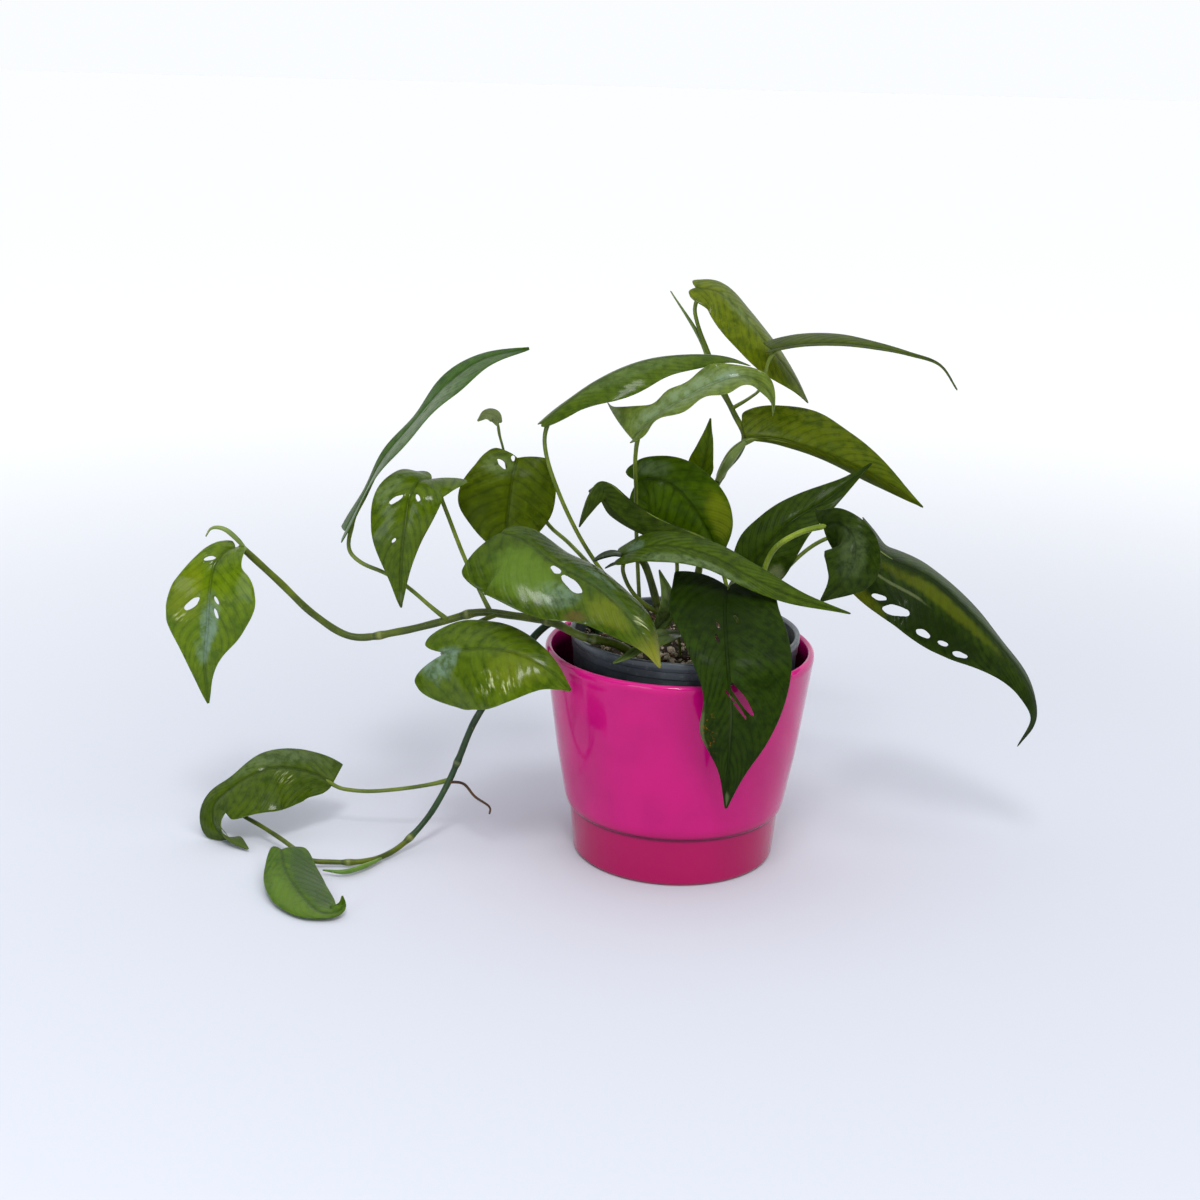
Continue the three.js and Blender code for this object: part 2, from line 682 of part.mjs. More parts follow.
    midrib: [
      [21, -36, 155], [19, -50, 149], [19, -66, 139], [20, -79, 125], [22, -84, 105], [22, -83, 80],
      [22, -80, 55],
    ],
    faces: [[0, -0.3, 1], [0, -0.9, 0.5], [0, -1, 0.1], [0, -1, 0]],
    half: [[18, 27, 31, 29, 20, 9, 0.4], [28, 28, 20, 13, 15, 5, 0.4]],
    lobe: [8, 10],
    fold: [8, 8],
    curl: [-20, -26],
    wave: [1, 3, 0],
    slits: [
      [0.21, -0.2, 7, 2, 15], [0.24, 0.14, 5, 1.8, 10], [0.3, 0.2, 5, 1.8, 10],
      [0.54, -0.19, 19, 3, 35], [0.56, -0.1, 20, 2.6, 35],
    ],
    stalk: [[24, -30, 156], [26, -22, 154], [29, -10, 144], [31, -2, 134]],
    stem: 'crown_stem_right',
    finish: 'darkLeaf',
  },
  {
    name: 'leaf_17_right_back',
    midrib: [[33, 12, 146], [42, 14, 160], [56, 18, 175], [76, 24, 187], [98, 30, 205]],
    faces: [[-0.2, -1, 0.3], [-0.2, -0.8, 0.6], [-0.2, -0.8, 0.6]],
    half: [[4, 14, 14, 12, 9, 4, 0.4], [12, 17, 15, 11, 6, 3, 0.4]],
    lobe: [3, 6],
    fold: [6, 6],
    curl: [-16, -16],
    wave: [0.6, 2, 0],
    slits: [],
    stalk: [[30, 10, 138], [24, 10, 122], [20, 10, 110], [20, 10, 104]],
    stem: 'potting_soil',
    finish: 'darkLeaf',
  },
  {
    name: 'leaf_18_folded',
    midrib: [
      [69, -14, 181], [75, -22, 185], [82, -30, 180], [82, -36, 169], [77, -38, 159], [67, -38, 149],
    ],
    faces: [[-0.2, -0.4, 0.9], [0.1, -1, 0.4], [0, -1, 0]],
    half: [[8, 14, 17, 17, 15, 6, 0.4], [8, 17, 18, 16, 14, 6, 0.4]],
    lobe: [4, 4],
    fold: [-20, -20],
    curl: [-40, -40],
    wave: [0.6, 2, 0],
    slits: [],
    stalk: [[61, -10, 178], [54, -8, 174], [47, -6, 168], [43, -4, 160], [41, -3, 150], [39, -2, 134], [37, -3, 114], [37, -3, 104]],
    stem: 'potting_soil',
    finish: 'darkLeaf',
  },
  {
    name: 'leaf_19_long_right',
    midrib: [
      [95, 8, 172], [103, 4, 163], [127, -2, 153], [146, -8, 138], [164, -14, 120], [179, -18, 101],
      [184, -20, 84], [175, -22, 69],
    ],
    faces: [[0.3, -0.8, 0.5], [0.3, -0.8, 0.5], [0.6, -0.8, 0.4]],
    half: [[16, 18, 20, 20, 16, 8, 0.4], [16, 30, 34, 27, 14, 6, 0.4]],
    lobe: [8, 8],
    fold: [-40, 4],
    curl: [-20, -20],
    wave: [0.8, 3, 0],
    slits: [
      [0.16, 0.74, 8, 3, 20], [0.22, 0.78, 14, 5.4, 20], [0.38, 0.82, 8, 3.6, 10],
      [0.45, 0.78, 6, 2.4, 10], [0.52, 0.82, 8, 3, 10],
    ],
    stalk: [[88, 10, 172], [70, 12, 166], [50, 10, 146], [42, 12, 126], [38, 14, 112], [38, 14, 104]],
    stem: 'potting_soil',
    finish: 'darkLeaf',
  },
  {
    name: 'leaf_20_right_upper',
    midrib: [[33, 50, 213], [49, 48, 213], [78, 44, 206], [104, 40, 195], [128, 38, 180]],
    faces: [[0.1, -0.8, 0.6], [0.2, -0.8, 0.6], [0.3, -0.8, 0.6]],
    half: [[14, 21, 24, 18, 12, 6, 0.4], [2, 4, 6, 8, 8, 5, 0.4]],
    lobe: [5, 5],
    fold: [4, -70],
    curl: [-20, -30],
    wave: [0.6, 2, 0],
    slits: [],
    stalk: [[27, 50, 206], [22, 50, 197], [20, 51, 190]],
    stem: 'back_vine',
    stalkRadius: 1.8,
    finish: 'leaf',
  },
  {
    name: 'leaf_21_topmost',
    midrib: [
      [4, 62, 290], [16, 60, 288], [31, 58, 275], [46, 56, 258], [59, 56, 242], [66, 56, 231],
    ],
    faces: [[0.2, -0.8, 0.6], [0.5, -0.75, 0.45], [0.6, -0.6, 0.3]],
    half: [[8, 16, 18, 18, 15, 9, 0.4], [4, 13, 17, 17, 14, 8, 0.4]],
    lobe: [3, 3],
    fold: [-25, 4],
    curl: [-20, -20],
    wave: [0.5, 2, 0],
    slits: [],
    stalk: [[4, 62, 280], [6, 62, 270], [12, 62, 256], [18, 61, 242], [22, 60, 233]],
    stem: 'back_vine',
    finish: 'leaf',
  },
  {
    name: 'leaf_22_top_right',
    midrib: [
      [43, 38, 262], [58, 38, 265], [79, 38, 266], [99, 38, 264], [115, 38, 261], [131, 38, 256],
      [141, 38, 243],
    ],
    faces: [[0, -0.3, 1], [0.1, -0.3, 1], [0.3, -0.3, 0.9]],
    half: [[7, 12, 12, 8, 2, 0.8, 0.4], [3, 5, 7, 5, 1.5, 0.8, 0.4]],
    lobe: [3, 3],
    fold: [6, 6],
    curl: [-16, -16],
    wave: [0.5, 2, 0],
    columns: 4,
    slits: [],
    stalk: [[42, 38, 256], [41, 38, 250], [39, 41, 241], [34, 50, 234], [26, 58, 227]],
    stem: 'back_vine',
    stalkRadius: 1,
    finish: 'leaf',
  },
  {
    name: 'leaf_23_small_grey',
    midrib: [[-13, -20, 126], [-6, -26, 138], [-8, -30, 151], [-13, -30, 161]],
    faces: [[0.3, -1, 0.1], [0.3, -1, 0.1]],
    half: [[2, 5, 7, 7, 5, 3, 0.4], [1, 3, 3, 3, 2, 1, 0.4]],
    lobe: [1, 1],
    fold: [8, 8],
    curl: [-10, -10],
    wave: [0, 1, 0],
    columns: 4,
    slits: [],
    stalk: [[-13, -19, 118], [-13, -19, 106]],
    stem: 'potting_soil',
    stalkRadius: 0.8,
    finish: 'leaf',
  },
  {
    name: 'leaf_24_small_low',
    midrib: [[-1, -30, 128], [-12, -44, 131], [-24, -54, 127], [-35, -62, 122]],
    faces: [[0, -0.6, 0.8], [0, -0.6, 0.8]],
    half: [[1, 4, 6, 6, 4, 3, 0.4], [1, 3, 4, 3, 2, 1, 0.4]],
    lobe: [1, 1],
    fold: [8, 8],
    curl: [-10, -10],
    wave: [0, 1, 0],
    columns: 4,
    slits: [],
    stalk: [[-1, -27, 120], [-1, -27, 106]],
    stem: 'potting_soil',
    stalkRadius: 0.8,
    finish: 'leaf',
  },
];

const stalkSides = 5;

// The stalk runs on under the blade as its raised midrib.
function leafStalk(leaf, extra) {
  const radius = leaf.stalkRadius ?? 1.3;
  const under = [1, 0].map((row) => bladePoint(leaf, rowShare(row), 0)
    .addScaledVector(bladeNormal(leaf, rowShare(row), 0), -0.3));
  const points = [...under.map((spot) => spot.toArray()), ...leaf.stalk];
  const steps = 4 + Math.round(1.5 * leaf.stalk.length);
  const shape = { reach: extra };
  return solidOf(stalkGeometry(route(points), 0.45 + extra, radius + extra, stalkSides, steps, shape));
}

const bores = [];
for (const leaf of leaves) {
  leaf.curve = route(leaf.midrib);
  leaf.length = leaf.curve.getLength();
  let solid = solidOf(bladeGeometry(leaf));
  for (const slit of leaf.slits) {
    solid = solid.subtract(slitSolid(leaf, slit));
  }
  if (leaf.stalk.length > 0) {
    solid = solid.add(leafStalk(leaf, 0));
  }
  if (leaf.stem === 'potting_soil') {
    bores.push(leafStalk(leaf, gap));
  } else {
    solid = solid.subtract(stemSolid(stems[leaf.stem], gap));
  }
  addPiece(leaf.name, geometryOf(largest(solid)), leaf.finish);
}

for (const [name, stem] of Object.entries(stems)) {
  bores.push(stemSolid(stem, gap));
  addPiece(name, geometryOf(stemSolid(stem, 0)), 'vine');
}

addPiece('cover_pot', coverPot(), 'glaze');
addPiece('nursery_pot', growerPot(), 'plastic');

let soil = soilSolid();
for (const bore of bores) {
  soil = soil.subtract(bore);
}
addPiece('potting_soil', geometryOf(soil), 'soil');

export default plant;
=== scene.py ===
import math
import random
from bisect import bisect_right

import bmesh
import bpy
from mathutils import Euler, Matrix, Vector, noise


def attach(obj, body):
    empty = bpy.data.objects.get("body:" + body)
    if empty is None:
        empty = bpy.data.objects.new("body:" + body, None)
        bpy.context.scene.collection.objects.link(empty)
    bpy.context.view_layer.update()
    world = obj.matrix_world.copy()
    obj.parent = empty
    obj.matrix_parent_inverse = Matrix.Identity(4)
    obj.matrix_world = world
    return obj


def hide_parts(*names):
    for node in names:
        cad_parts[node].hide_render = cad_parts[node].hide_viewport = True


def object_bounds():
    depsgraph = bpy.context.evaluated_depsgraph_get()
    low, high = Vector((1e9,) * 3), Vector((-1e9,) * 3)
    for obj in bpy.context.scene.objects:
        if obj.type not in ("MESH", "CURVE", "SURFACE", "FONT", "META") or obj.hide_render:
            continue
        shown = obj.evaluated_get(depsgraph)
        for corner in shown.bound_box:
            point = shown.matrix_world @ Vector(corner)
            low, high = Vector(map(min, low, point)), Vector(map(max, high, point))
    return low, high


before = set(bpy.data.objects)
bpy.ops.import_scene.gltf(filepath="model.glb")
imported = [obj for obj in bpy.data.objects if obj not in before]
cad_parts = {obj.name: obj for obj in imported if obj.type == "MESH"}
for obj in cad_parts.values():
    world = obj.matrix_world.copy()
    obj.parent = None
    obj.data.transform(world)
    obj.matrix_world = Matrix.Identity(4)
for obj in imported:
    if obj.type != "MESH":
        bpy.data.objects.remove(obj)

# A potted cebu blue pothos in a glazed magenta pot. Places are in millimetres here
# and in metres in the meshes, +Z up, -Y is the front.
cadBox = [list(corner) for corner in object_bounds()]
random.seed(41)
print("frame loaded:", len(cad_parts), "nodes")

# Camera, floor and light; the places of lamps are in metres
shot = {"place": (-42.0, -892.1, 399.8), "down": 16.5, "roll": 1.5, "lens": 54.0, "sensor": 36.0}
# near and far are floor colours, darker near the pot and lighter far off: painted light that evens out the
# lamps' falloff
floorLook = {
    "half": 40.0, "dropMm": 0.2, "near": (0.585, 0.61, 0.68), "far": (0.93, 0.935, 0.945),
    "roughness": 0.85,
}
skyLook = {"color": (0.95, 0.97, 1.0, 1), "behind": 1.01, "front": 0.1}
daylight = {"from": (0.45, -0.75, 1.0), "energy": 1.45, "softDeg": 50, "color": (1.0, 0.99, 0.97)}
lamps = {
    "high_front": {
        "place": (-0.1, -1.05, 1.5), "aim": (-0.02, 0, 0.15), "size": (0.32, 0.32), "energy": 9,
        "color": (1.0, 0.995, 0.98),
    },
    "window_left": {
        "place": (-1.0, -1.5, 0.5), "aim": (-0.05, 0, 0.12), "size": (0.6, 0.9), "energy": 8,
        "color": (0.88, 0.94, 1.0),
    },
}


def addObject(name, data):
    made = bpy.data.objects.new(name, data)
    bpy.context.scene.collection.objects.link(made)
    return made


def makeCamera():
    pitch, roll = math.radians(shot["down"]), math.radians(shot["roll"])
    ahead = Vector((0, math.cos(pitch), -math.sin(pitch)))
    level = Vector((1, 0, 0))
    above = level.cross(ahead)
    right = math.cos(roll) * level + math.sin(roll) * above
    up = -math.sin(roll) * level + math.cos(roll) * above
    data = bpy.data.cameras.new("camera")
    data.lens = shot["lens"]
    data.sensor_width = shot["sensor"]
    data.clip_end = 100
    camera = addObject("camera", data)
    turn = Matrix((right, up, -ahead)).transposed().to_4x4()
    camera.matrix_world = Matrix.Translation(Vector(shot["place"]) * 0.001) @ turn
    bpy.context.scene.camera = camera


# Bright pale wall behind and a dimmer room in front
def makeSky():
    world = bpy.data.worlds.new("sky")
    bpy.context.scene.world = world
    world.use_nodes = True
    tree = world.node_tree
    background = tree.nodes["Background"]
    background.inputs["Color"].default_value = skyLook["color"]
    way = split(addNode(tree, "ShaderNodeTexCoord").outputs["Generated"])
    aloft = multiply(way[2], 0.75, multiply(way[1], 0.8))
    brightness = fade(aloft, -0.15, 0.65, skyLook["front"], skyLook["behind"])
    tree.links.new(brightness, background.inputs["Strength"])


def makeLight(kind, name, look, place, towards):
    data = bpy.data.lights.new(name, kind)
    data.energy = look["energy"]
    data.color = look["color"]
    light = addObject(name, data)
    turn = towards.to_track_quat("-Z", "Y").to_matrix().to_4x4()
    light.matrix_world = Matrix.Translation(place) @ turn
    return light


# Two lamps and one wide soft daylight
def makeLights():
    for name, lamp in lamps.items():
        place = Vector(lamp["place"])
        light = makeLight("AREA", name, lamp, place, Vector(lamp["aim"]) - place)
        light.data.shape = "RECTANGLE"
        light.data.size, light.data.size_y = lamp["size"]
    sun = makeLight("SUN", "daylight", daylight, Vector(), -Vector(daylight["from"]))
    sun.data.angle = math.radians(daylight["softDeg"])
    sun.visible_glossy = False


# Node helpers: a new material comes with its tree, shader and object coordinates
def newMaterial(name):
    material = bpy.data.materials.new(name)
    material.use_nodes = True
    tree = material.node_tree
    place = addNode(tree, "ShaderNodeTexCoord").outputs["Object"]
    return material, tree, tree.nodes["Principled BSDF"], place


def isSocket(value):
    return isinstance(value, bpy.types.NodeSocket)


def fillSocket(socket, value):
    if isSocket(value):
        socket.id_data.links.new(value, socket)
    else:
        socket.default_value = value


def setShader(shader, **values):
    for key, value in values.items():
        fillSocket(shader.inputs[key.replace("_", " ")], value)


def addNode(tree, kind, inputs=None, **settings):
    node = tree.nodes.new(kind)
    for key, value in settings.items():
        setattr(node, key, value)
    for key, value in (inputs or {}).items():
        fillSocket(node.inputs[key], value)
    return node


def calc(operation, first, second=0.0, third=0.0):
    inputs = {0: first, 1: second, 2: third}
    return addNode(first.id_data, "ShaderNodeMath", inputs, operation=operation).outputs[0]


def multiply(first, second, added=0.0):
    return calc("MULTIPLY_ADD", first, second, added)


def fade(value, low, high, start=0.0, end=1.0):
    inputs = {0: value, 1: low, 2: high, 3: start, 4: end}
    node = addNode(value.id_data, "ShaderNodeMapRange", inputs, interpolation_type="SMOOTHSTEP")
    return node.outputs[0]


def split(vector):
    return addNode(vector.id_data, "ShaderNodeSeparateXYZ", {0: vector}).outputs


def lengthOf(vector):
    node = addNode(vector.id_data, "ShaderNodeVectorMath", {0: vector}, operation="LENGTH")
    return node.outputs["Value"]


def mixColor(tree, share, *colors):
    first, second = (color if isSocket(color) else (*color, 1) for color in colors)
    node = addNode(tree, "ShaderNodeMix", data_type="RGBA")
    for index, value in ((0, share), (6, first), (7, second)):
        fillSocket(node.inputs[index], value)
    return node.outputs[2]


# Lays colours over a base, each by its own share
def layered(tree, base, layers):
    for share, color in layers:
        base = mixColor(tree, share, base, color)
    return base


def noiseOf(place, scale, detail=3.0, roughness=0.55):
    inputs = {"Vector": place, "Scale": scale, "Detail": detail, "Roughness": roughness}
    return addNode(place.id_data, "ShaderNodeTexNoise", inputs).outputs["Fac"]


def stretched(place, scale, shift=(0, 0, 0)):
    inputs = {"Vector": place, "Location": shift, "Scale": scale}
    return addNode(place.id_data, "ShaderNodeMapping", inputs).outputs[0]


def bumpOf(shader, height, depthMm, strength):
    inputs = {"Strength": strength, "Distance": depthMm * 0.001, "Height": height}
    setShader(shader, Normal=addNode(shader.id_data, "ShaderNodeBump", inputs).outputs[0])


# Mesh helpers
def finishPiece(name, bm, materials, nodes=(), smooth=True):
    bmesh.ops.scale(bm, vec=(0.001, 0.001, 0.001), verts=bm.verts)
    for face in bm.faces:
        face.smooth = smooth
    mesh = bpy.data.meshes.new(name)
    bm.to_mesh(mesh)
    bm.free()
    for material in materials:
        mesh.materials.append(material)
    piece = addObject(name, mesh)
    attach(piece, "root")
    if nodes:
        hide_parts(*nodes)
    return piece


def addSubdivision(piece):
    modifier = piece.modifiers.new("rounding", "SUBSURF")
    modifier.levels = 1
    modifier.render_levels = 1


# A smooth open curve through points, read by its share of the length
class Route:
    def __init__(self, points):
        spots = [Vector(point) for point in points]
        self.spots = [spots[0] * 2 - spots[1], *spots, spots[-1] * 2 - spots[-2]]
        self.reached = [0.0]
        self.samples = 200
        before = self.raw(0.0)[0]
        for i in range(1, self.samples + 1):
            here = self.raw(i / self.samples)[0]
            self.reached.append(self.reached[-1] + (here - before).length)
            before = here
        self.length = self.reached[-1]

    def raw(self, share):
        spans = len(self.spots) - 3
        spot = min(share * spans, spans - 1e-7)
        index = int(spot)
        part = spot - index
        a, b, c, d = self.spots[index:index + 4]
        stepA, stepB, stepC = (max((q - p).length, 1e-6) ** 0.5 for p, q in ((a, b), (b, c), (c, d)))
        slopeB = ((b - a) / stepA - (c - a) / (stepA + stepB) + (c - b) / stepB) * stepB
        slopeC = ((c - b) / stepB - (d - b) / (stepB + stepC) + (d - c) / stepC) * stepB
        square = 3 * (c - b) - 2 * slopeB - slopeC
        cube = 2 * (b - c) + slopeB + slopeC
        place = b + slopeB * part + square * part ** 2 + cube * part ** 3
        return place, slopeB + 2 * square * part + 3 * cube * part ** 2

    # Place and direction at a share of the length
    def at(self, share):
        target = min(max(share, 0.0), 1.0) * self.length
        index = min(bisect_right(self.reached, target) - 1, self.samples - 1)
        span = self.reached[index + 1] - self.reached[index]
        place, slope = self.raw((index + (target - self.reached[index]) / span) / self.samples)
        return place, slope.normalized()

    # Even cross frames along the curve that don't twist
    def frames(self, steps):
        frames = []
        place, along = self.at(0)
        side = along.orthogonal().normalized()
        for i in range(steps + 1):
            place, along = self.at(i / steps)
            side = (side - along * side.dot(along)).normalized()
            frames.append((place, along, side, along.cross(side)))
        return frames


# A round tube bent along a route: radiusAt gives its radius at a share of the length
def bendTube(path, radiusAt, sides, steps, shapeAt=None):
    bm = bmesh.new()
    bmesh.ops.create_cone(bm, cap_ends=True, cap_tris=True, segments=sides, radius1=1, radius2=1, depth=1)
    lengthwise = [e for e in bm.edges if abs(e.verts[0].co.z - e.verts[1].co.z) > 0.9]
    bmesh.ops.subdivide_edges(bm, edges=lengthwise, cuts=steps - 1)
    tag = bm.verts.layers.float.new("along")
    frames = path.frames(steps)
    for vert in bm.verts:
        step = round((vert.co.z + 0.5) * steps)
        share = step / steps
        place, along, side, up = frames[step]
        radius = radiusAt(share)
        x, y = vert.co.x * radius, vert.co.y * radius
        if shapeAt:
            x, y = shapeAt(share, x, y)
        vert[tag] = share * path.length * 0.001
        vert.co = place + side * x + up * y
    return bm


# Leaf skins: greens by tone. rib is the vein colour, silver the share of the pale bluish bloom,
# partly the leaf's own silvery tone and partly painted sheen, glow the light let through and shine the coat
leafTones = {
    "fresh": {
        "light": (0.13, 0.19, 0.004), "deep": (0.05, 0.092, 0.002), "rib": (0.15, 0.22, 0.014),
        "silver": 0.03, "glow": (0.3, 0.4, 0.004), "rough": 0.3, "shine": 0.32,
    },
    "middle": {
        "light": (0.088, 0.14, 0.004), "deep": (0.034, 0.066, 0.002), "rib": (0.1, 0.15, 0.012),
        "silver": 0.03, "glow": (0.2, 0.29, 0.004), "rough": 0.34, "shine": 0.2,
    },
    # The shade tone: darker greens, painted shade for leaves that lie in the shade of others
    "shade": {
        "light": (0.05, 0.085, 0.001), "deep": (0.02, 0.038, 0.0005), "rib": (0.03, 0.05, 0.003),
        "silver": 0.01, "glow": (0.17, 0.25, 0.002), "rough": 0.42, "shine": 0.06,
    },
    "grey": {
        "light": (0.1, 0.155, 0.03), "deep": (0.045, 0.08, 0.012), "rib": (0.12, 0.17, 0.04),
        "silver": 0.2, "glow": (0.14, 0.2, 0.01), "rough": 0.33, "shine": 0.3,
    },
    # The dark tone: the older leaves' own deep green, darkened further as painted shade where other leaves
    # shade them
    "dark": {
        "light": (0.02, 0.042, 0.0022), "deep": (0.007, 0.017, 0.0008), "rib": (0.022, 0.042, 0.004),
        "silver": 0.02, "glow": (0.03, 0.06, 0.002), "rough": 0.44, "shine": 0.06,
    },
}
# The bloom colour is partly the leaf's own silvery tone and partly painted sheen
leafLook = {
    "bloom_and_sheen": (0.22, 0.31, 0.21), "under": (0.12, 0.17, 0.05), "underShare": 0.45, "underRough": 0.18,
    "through": 0.28, "specular": 0.09, "coatRough": 0.12, "bumpMm": 0.45, "bump": 0.8,
}

# Soft patches on single leaves: bluish bloom (partly painted sheen), sheen (painted sheen), glints (painted
# highlights), dark and dim (painted shade), yellowed (partly painted light let through), browned and pale
# places
patchColors = {
    "sheen": (0.25, 0.37, 0.3), "bloom_and_sheen": (0.24, 0.33, 0.17), "glint": (0.72, 0.78, 0.4),
    # yellow is partly the leaf's own yellowing and partly painted light let through a leaf lit from behind
    "yellow": (0.26, 0.3, 0.006), "brown": (0.13, 0.08, 0.02), "pale": (0.2, 0.24, 0.1),
    # dark and dim are painted shade where other leaves shade a blade
    "orange": (0.4, 0.13, 0.01), "dark": (0.008, 0.018, 0.001), "dim": (0.04, 0.085, 0.02),
    "fresh": (0.14, 0.25, 0.02),
}


# How much of a patch (kind, t, v, long, wide, share) shows at a place of its blade
def patchShare(blade, veins, place, patch):
    kind, t, v, longT, wideV, share = patch
    scale = (2 / wideV, 1 / longT, 0)
    centred = stretched(blade, scale, (-(0.5 + 0.5 * v) * scale[0], -t * scale[1], 0))
    away = multiply(noiseOf(place, 200), 0.7, lengthOf(centred))
    soft = fade(away, 0.75, 1.45, share, 0.0)
    # Glints are painted highlights, broken into streaks along the veins
    if kind == "glint":
        streaks = noiseOf(stretched(veins, (3.4, 15, 1)), 1.0)
        return multiply(soft, fade(streaks, 0.5, 0.66))
    if kind == "orange":
        return multiply(soft, fade(noiseOf(place, 600), 0.58, 0.66))
    # Sheen and bloom break into clouds: painted sheen, the bloom partly the leaf's own silvery tone
    if kind in ("sheen", "bloom_and_sheen"):
        clouds = noiseOf(place, 260, 4, 0.65)
        return multiply(soft, fade(clouds, 0.32, 0.62, 0.25, 1.0))
    return soft


def leafSkin(name, tone, under=False, patches=()):
    material, tree, shader, place = newMaterial(name)
    light, deep, rib = tone["light"], tone["deep"], tone["rib"]
    blade = addNode(tree, "ShaderNodeUVMap", uv_map="blade").outputs[0]
    veins = addNode(tree, "ShaderNodeUVMap", uv_map="veins").outputs[0]
    bladeParts, veinParts = split(blade), split(veins)
    wander = noiseOf(place, 90, 2)
    mottle = noiseOf(place, 260, 4)
    cloud = noiseOf(place, 38, 2)
    reach = calc("ABSOLUTE", multiply(bladeParts[0], 2.0, -1.0))
    out = calc("ABSOLUTE", veinParts[1])
    phase = multiply(wander, 0.22, veinParts[0])
    # Away from the nearest vein: 0 on it and 1 half way to the next
    away = multiply(calc("PINGPONG", phase, 0.5), 2.0)
    fine = multiply(calc("PINGPONG", multiply(phase, 3.0), 0.5), 2.0)
    vein = fade(away, 0.0, 0.3, 1.0, 0.0)
    midrib = fade(out, 0.004, 0.012, 1.0, 0.0)
    panel = multiply(fade(away, 0.1, 0.9, 0.0, 0.7), fade(wander, 0.42, 0.62))
    # A pale bluish bloom, strongest near the midrib: partly the leaf's own silvery tone, partly painted
    # sheen
    bloom_and_sheen = fade(noiseOf(place, 120, 3, 0.6), 0.45, 0.72, 0.0, tone["silver"])
    layers = [
        (fade(mottle, 0.3, 0.7), light),
        (fade(cloud, 0.35, 0.68, 0.0, 0.45), deep),
        (panel, light),
        (multiply(bloom_and_sheen, fade(reach, 0.15, 0.95, 1.0, 0.15)), leafLook["bloom_and_sheen"]),
        (multiply(vein, 0.14), [0.5 * c for c in deep]),
        (fade(fine, 0.1, 0.6, 0.1, 0.0), deep),
        (fade(out, 0.0, 0.09, 0.1, 0.0), rib),
        (multiply(midrib, 0.5), rib if under else [0.6 * c for c in deep]),
        (fade(reach, 0.95, 1.0, 0.0, 0.5), rib),
    ]
    if "tip" in tone:
        layers.append((fade(bladeParts[1], tone["tipFrom"], 1.0, 0.0, 0.85), tone["tip"]))
    # Patches lay painted highlights, sheen and shade and the leaf's own yellowed, browned and pale places
    # over the colour
    for patch in patches:
        layers.append((patchShare(blade, veins, place, patch), patchColors[patch[0]]))
    rough, shine = tone["rough"], tone["shine"]
    if under:
        layers.append((leafLook["underShare"], leafLook["under"]))
        rough, shine = rough + leafLook["underRough"], 0.0
    setShader(shader, Base_Color=layered(tree, deep, layers),
              Roughness=fade(mottle, 0.3, 0.75, rough - 0.05, rough + 0.1),
              Specular_IOR_Level=leafLook["specular"],
              Coat_Weight=shine, Coat_Roughness=leafLook["coatRough"])
    rise = multiply(fine, 0.16, multiply(calc("POWER", away, 0.6), 0.4))
    rise = multiply(noiseOf(place, 150, 2), 1.6, rise)
    rise = multiply(rise, fade(out, 0.0, 0.05, 0.25, 1.0))
    rise = multiply(midrib, -0.8, rise)
    bumpOf(shader, multiply(rise, -1.0 if under else 1.0), leafLook["bumpMm"], leafLook["bump"])
    glowColor = mixColor(tree, multiply(vein, 0.3), tone["glow"], deep)
    glow = addNode(tree, "ShaderNodeBsdfTranslucent", {"Color": glowColor})
    inputs = {0: leafLook["through"], 1: shader.outputs[0], 2: glow.outputs[0]}
    both = addNode(tree, "ShaderNodeMixShader", inputs)
    tree.links.new(both.outputs[0], tree.nodes["Material Output"].inputs["Surface"])
    return material


# Stem skins: light, deep and fleck colours and roughness
stemTones = {
    "stem": ((0.105, 0.14, 0.006), (0.04, 0.062, 0.003), (0.2, 0.2, 0.05), 0.42),
    "petiole": ((0.15, 0.2, 0.015), (0.07, 0.11, 0.006), (0.22, 0.26, 0.05), 0.36),
    "bright_petiole": ((0.24, 0.32, 0.015), (0.13, 0.19, 0.008), (0.3, 0.34, 0.06), 0.34),
    "sheath": ((0.2, 0.27, 0.06), (0.1, 0.15, 0.03), (0.3, 0.34, 0.12), 0.4),
    "rolled_leaf": ((0.16, 0.3, 0.03), (0.08, 0.17, 0.02), (0.25, 0.36, 0.07), 0.34),
    "dusky_flap": ((0.06, 0.08, 0.045), (0.012, 0.02, 0.008), (0.12, 0.14, 0.09), 0.45),
    "root": ((0.11, 0.055, 0.02), (0.045, 0.022, 0.01), (0.2, 0.12, 0.05), 0.7),
}
olderStem = {"deep": (0.012, 0.035, 0.01), "light": (0.03, 0.07, 0.024)}
# A node's pale ring and the groove after it: metres from the node, half width, share and colour
nodeBands = [(0, 0.0016, 0.45, (0.26, 0.28, 0.11)), (0.0028, 0.0012, 0.6, (0.02, 0.03, 0.006))]


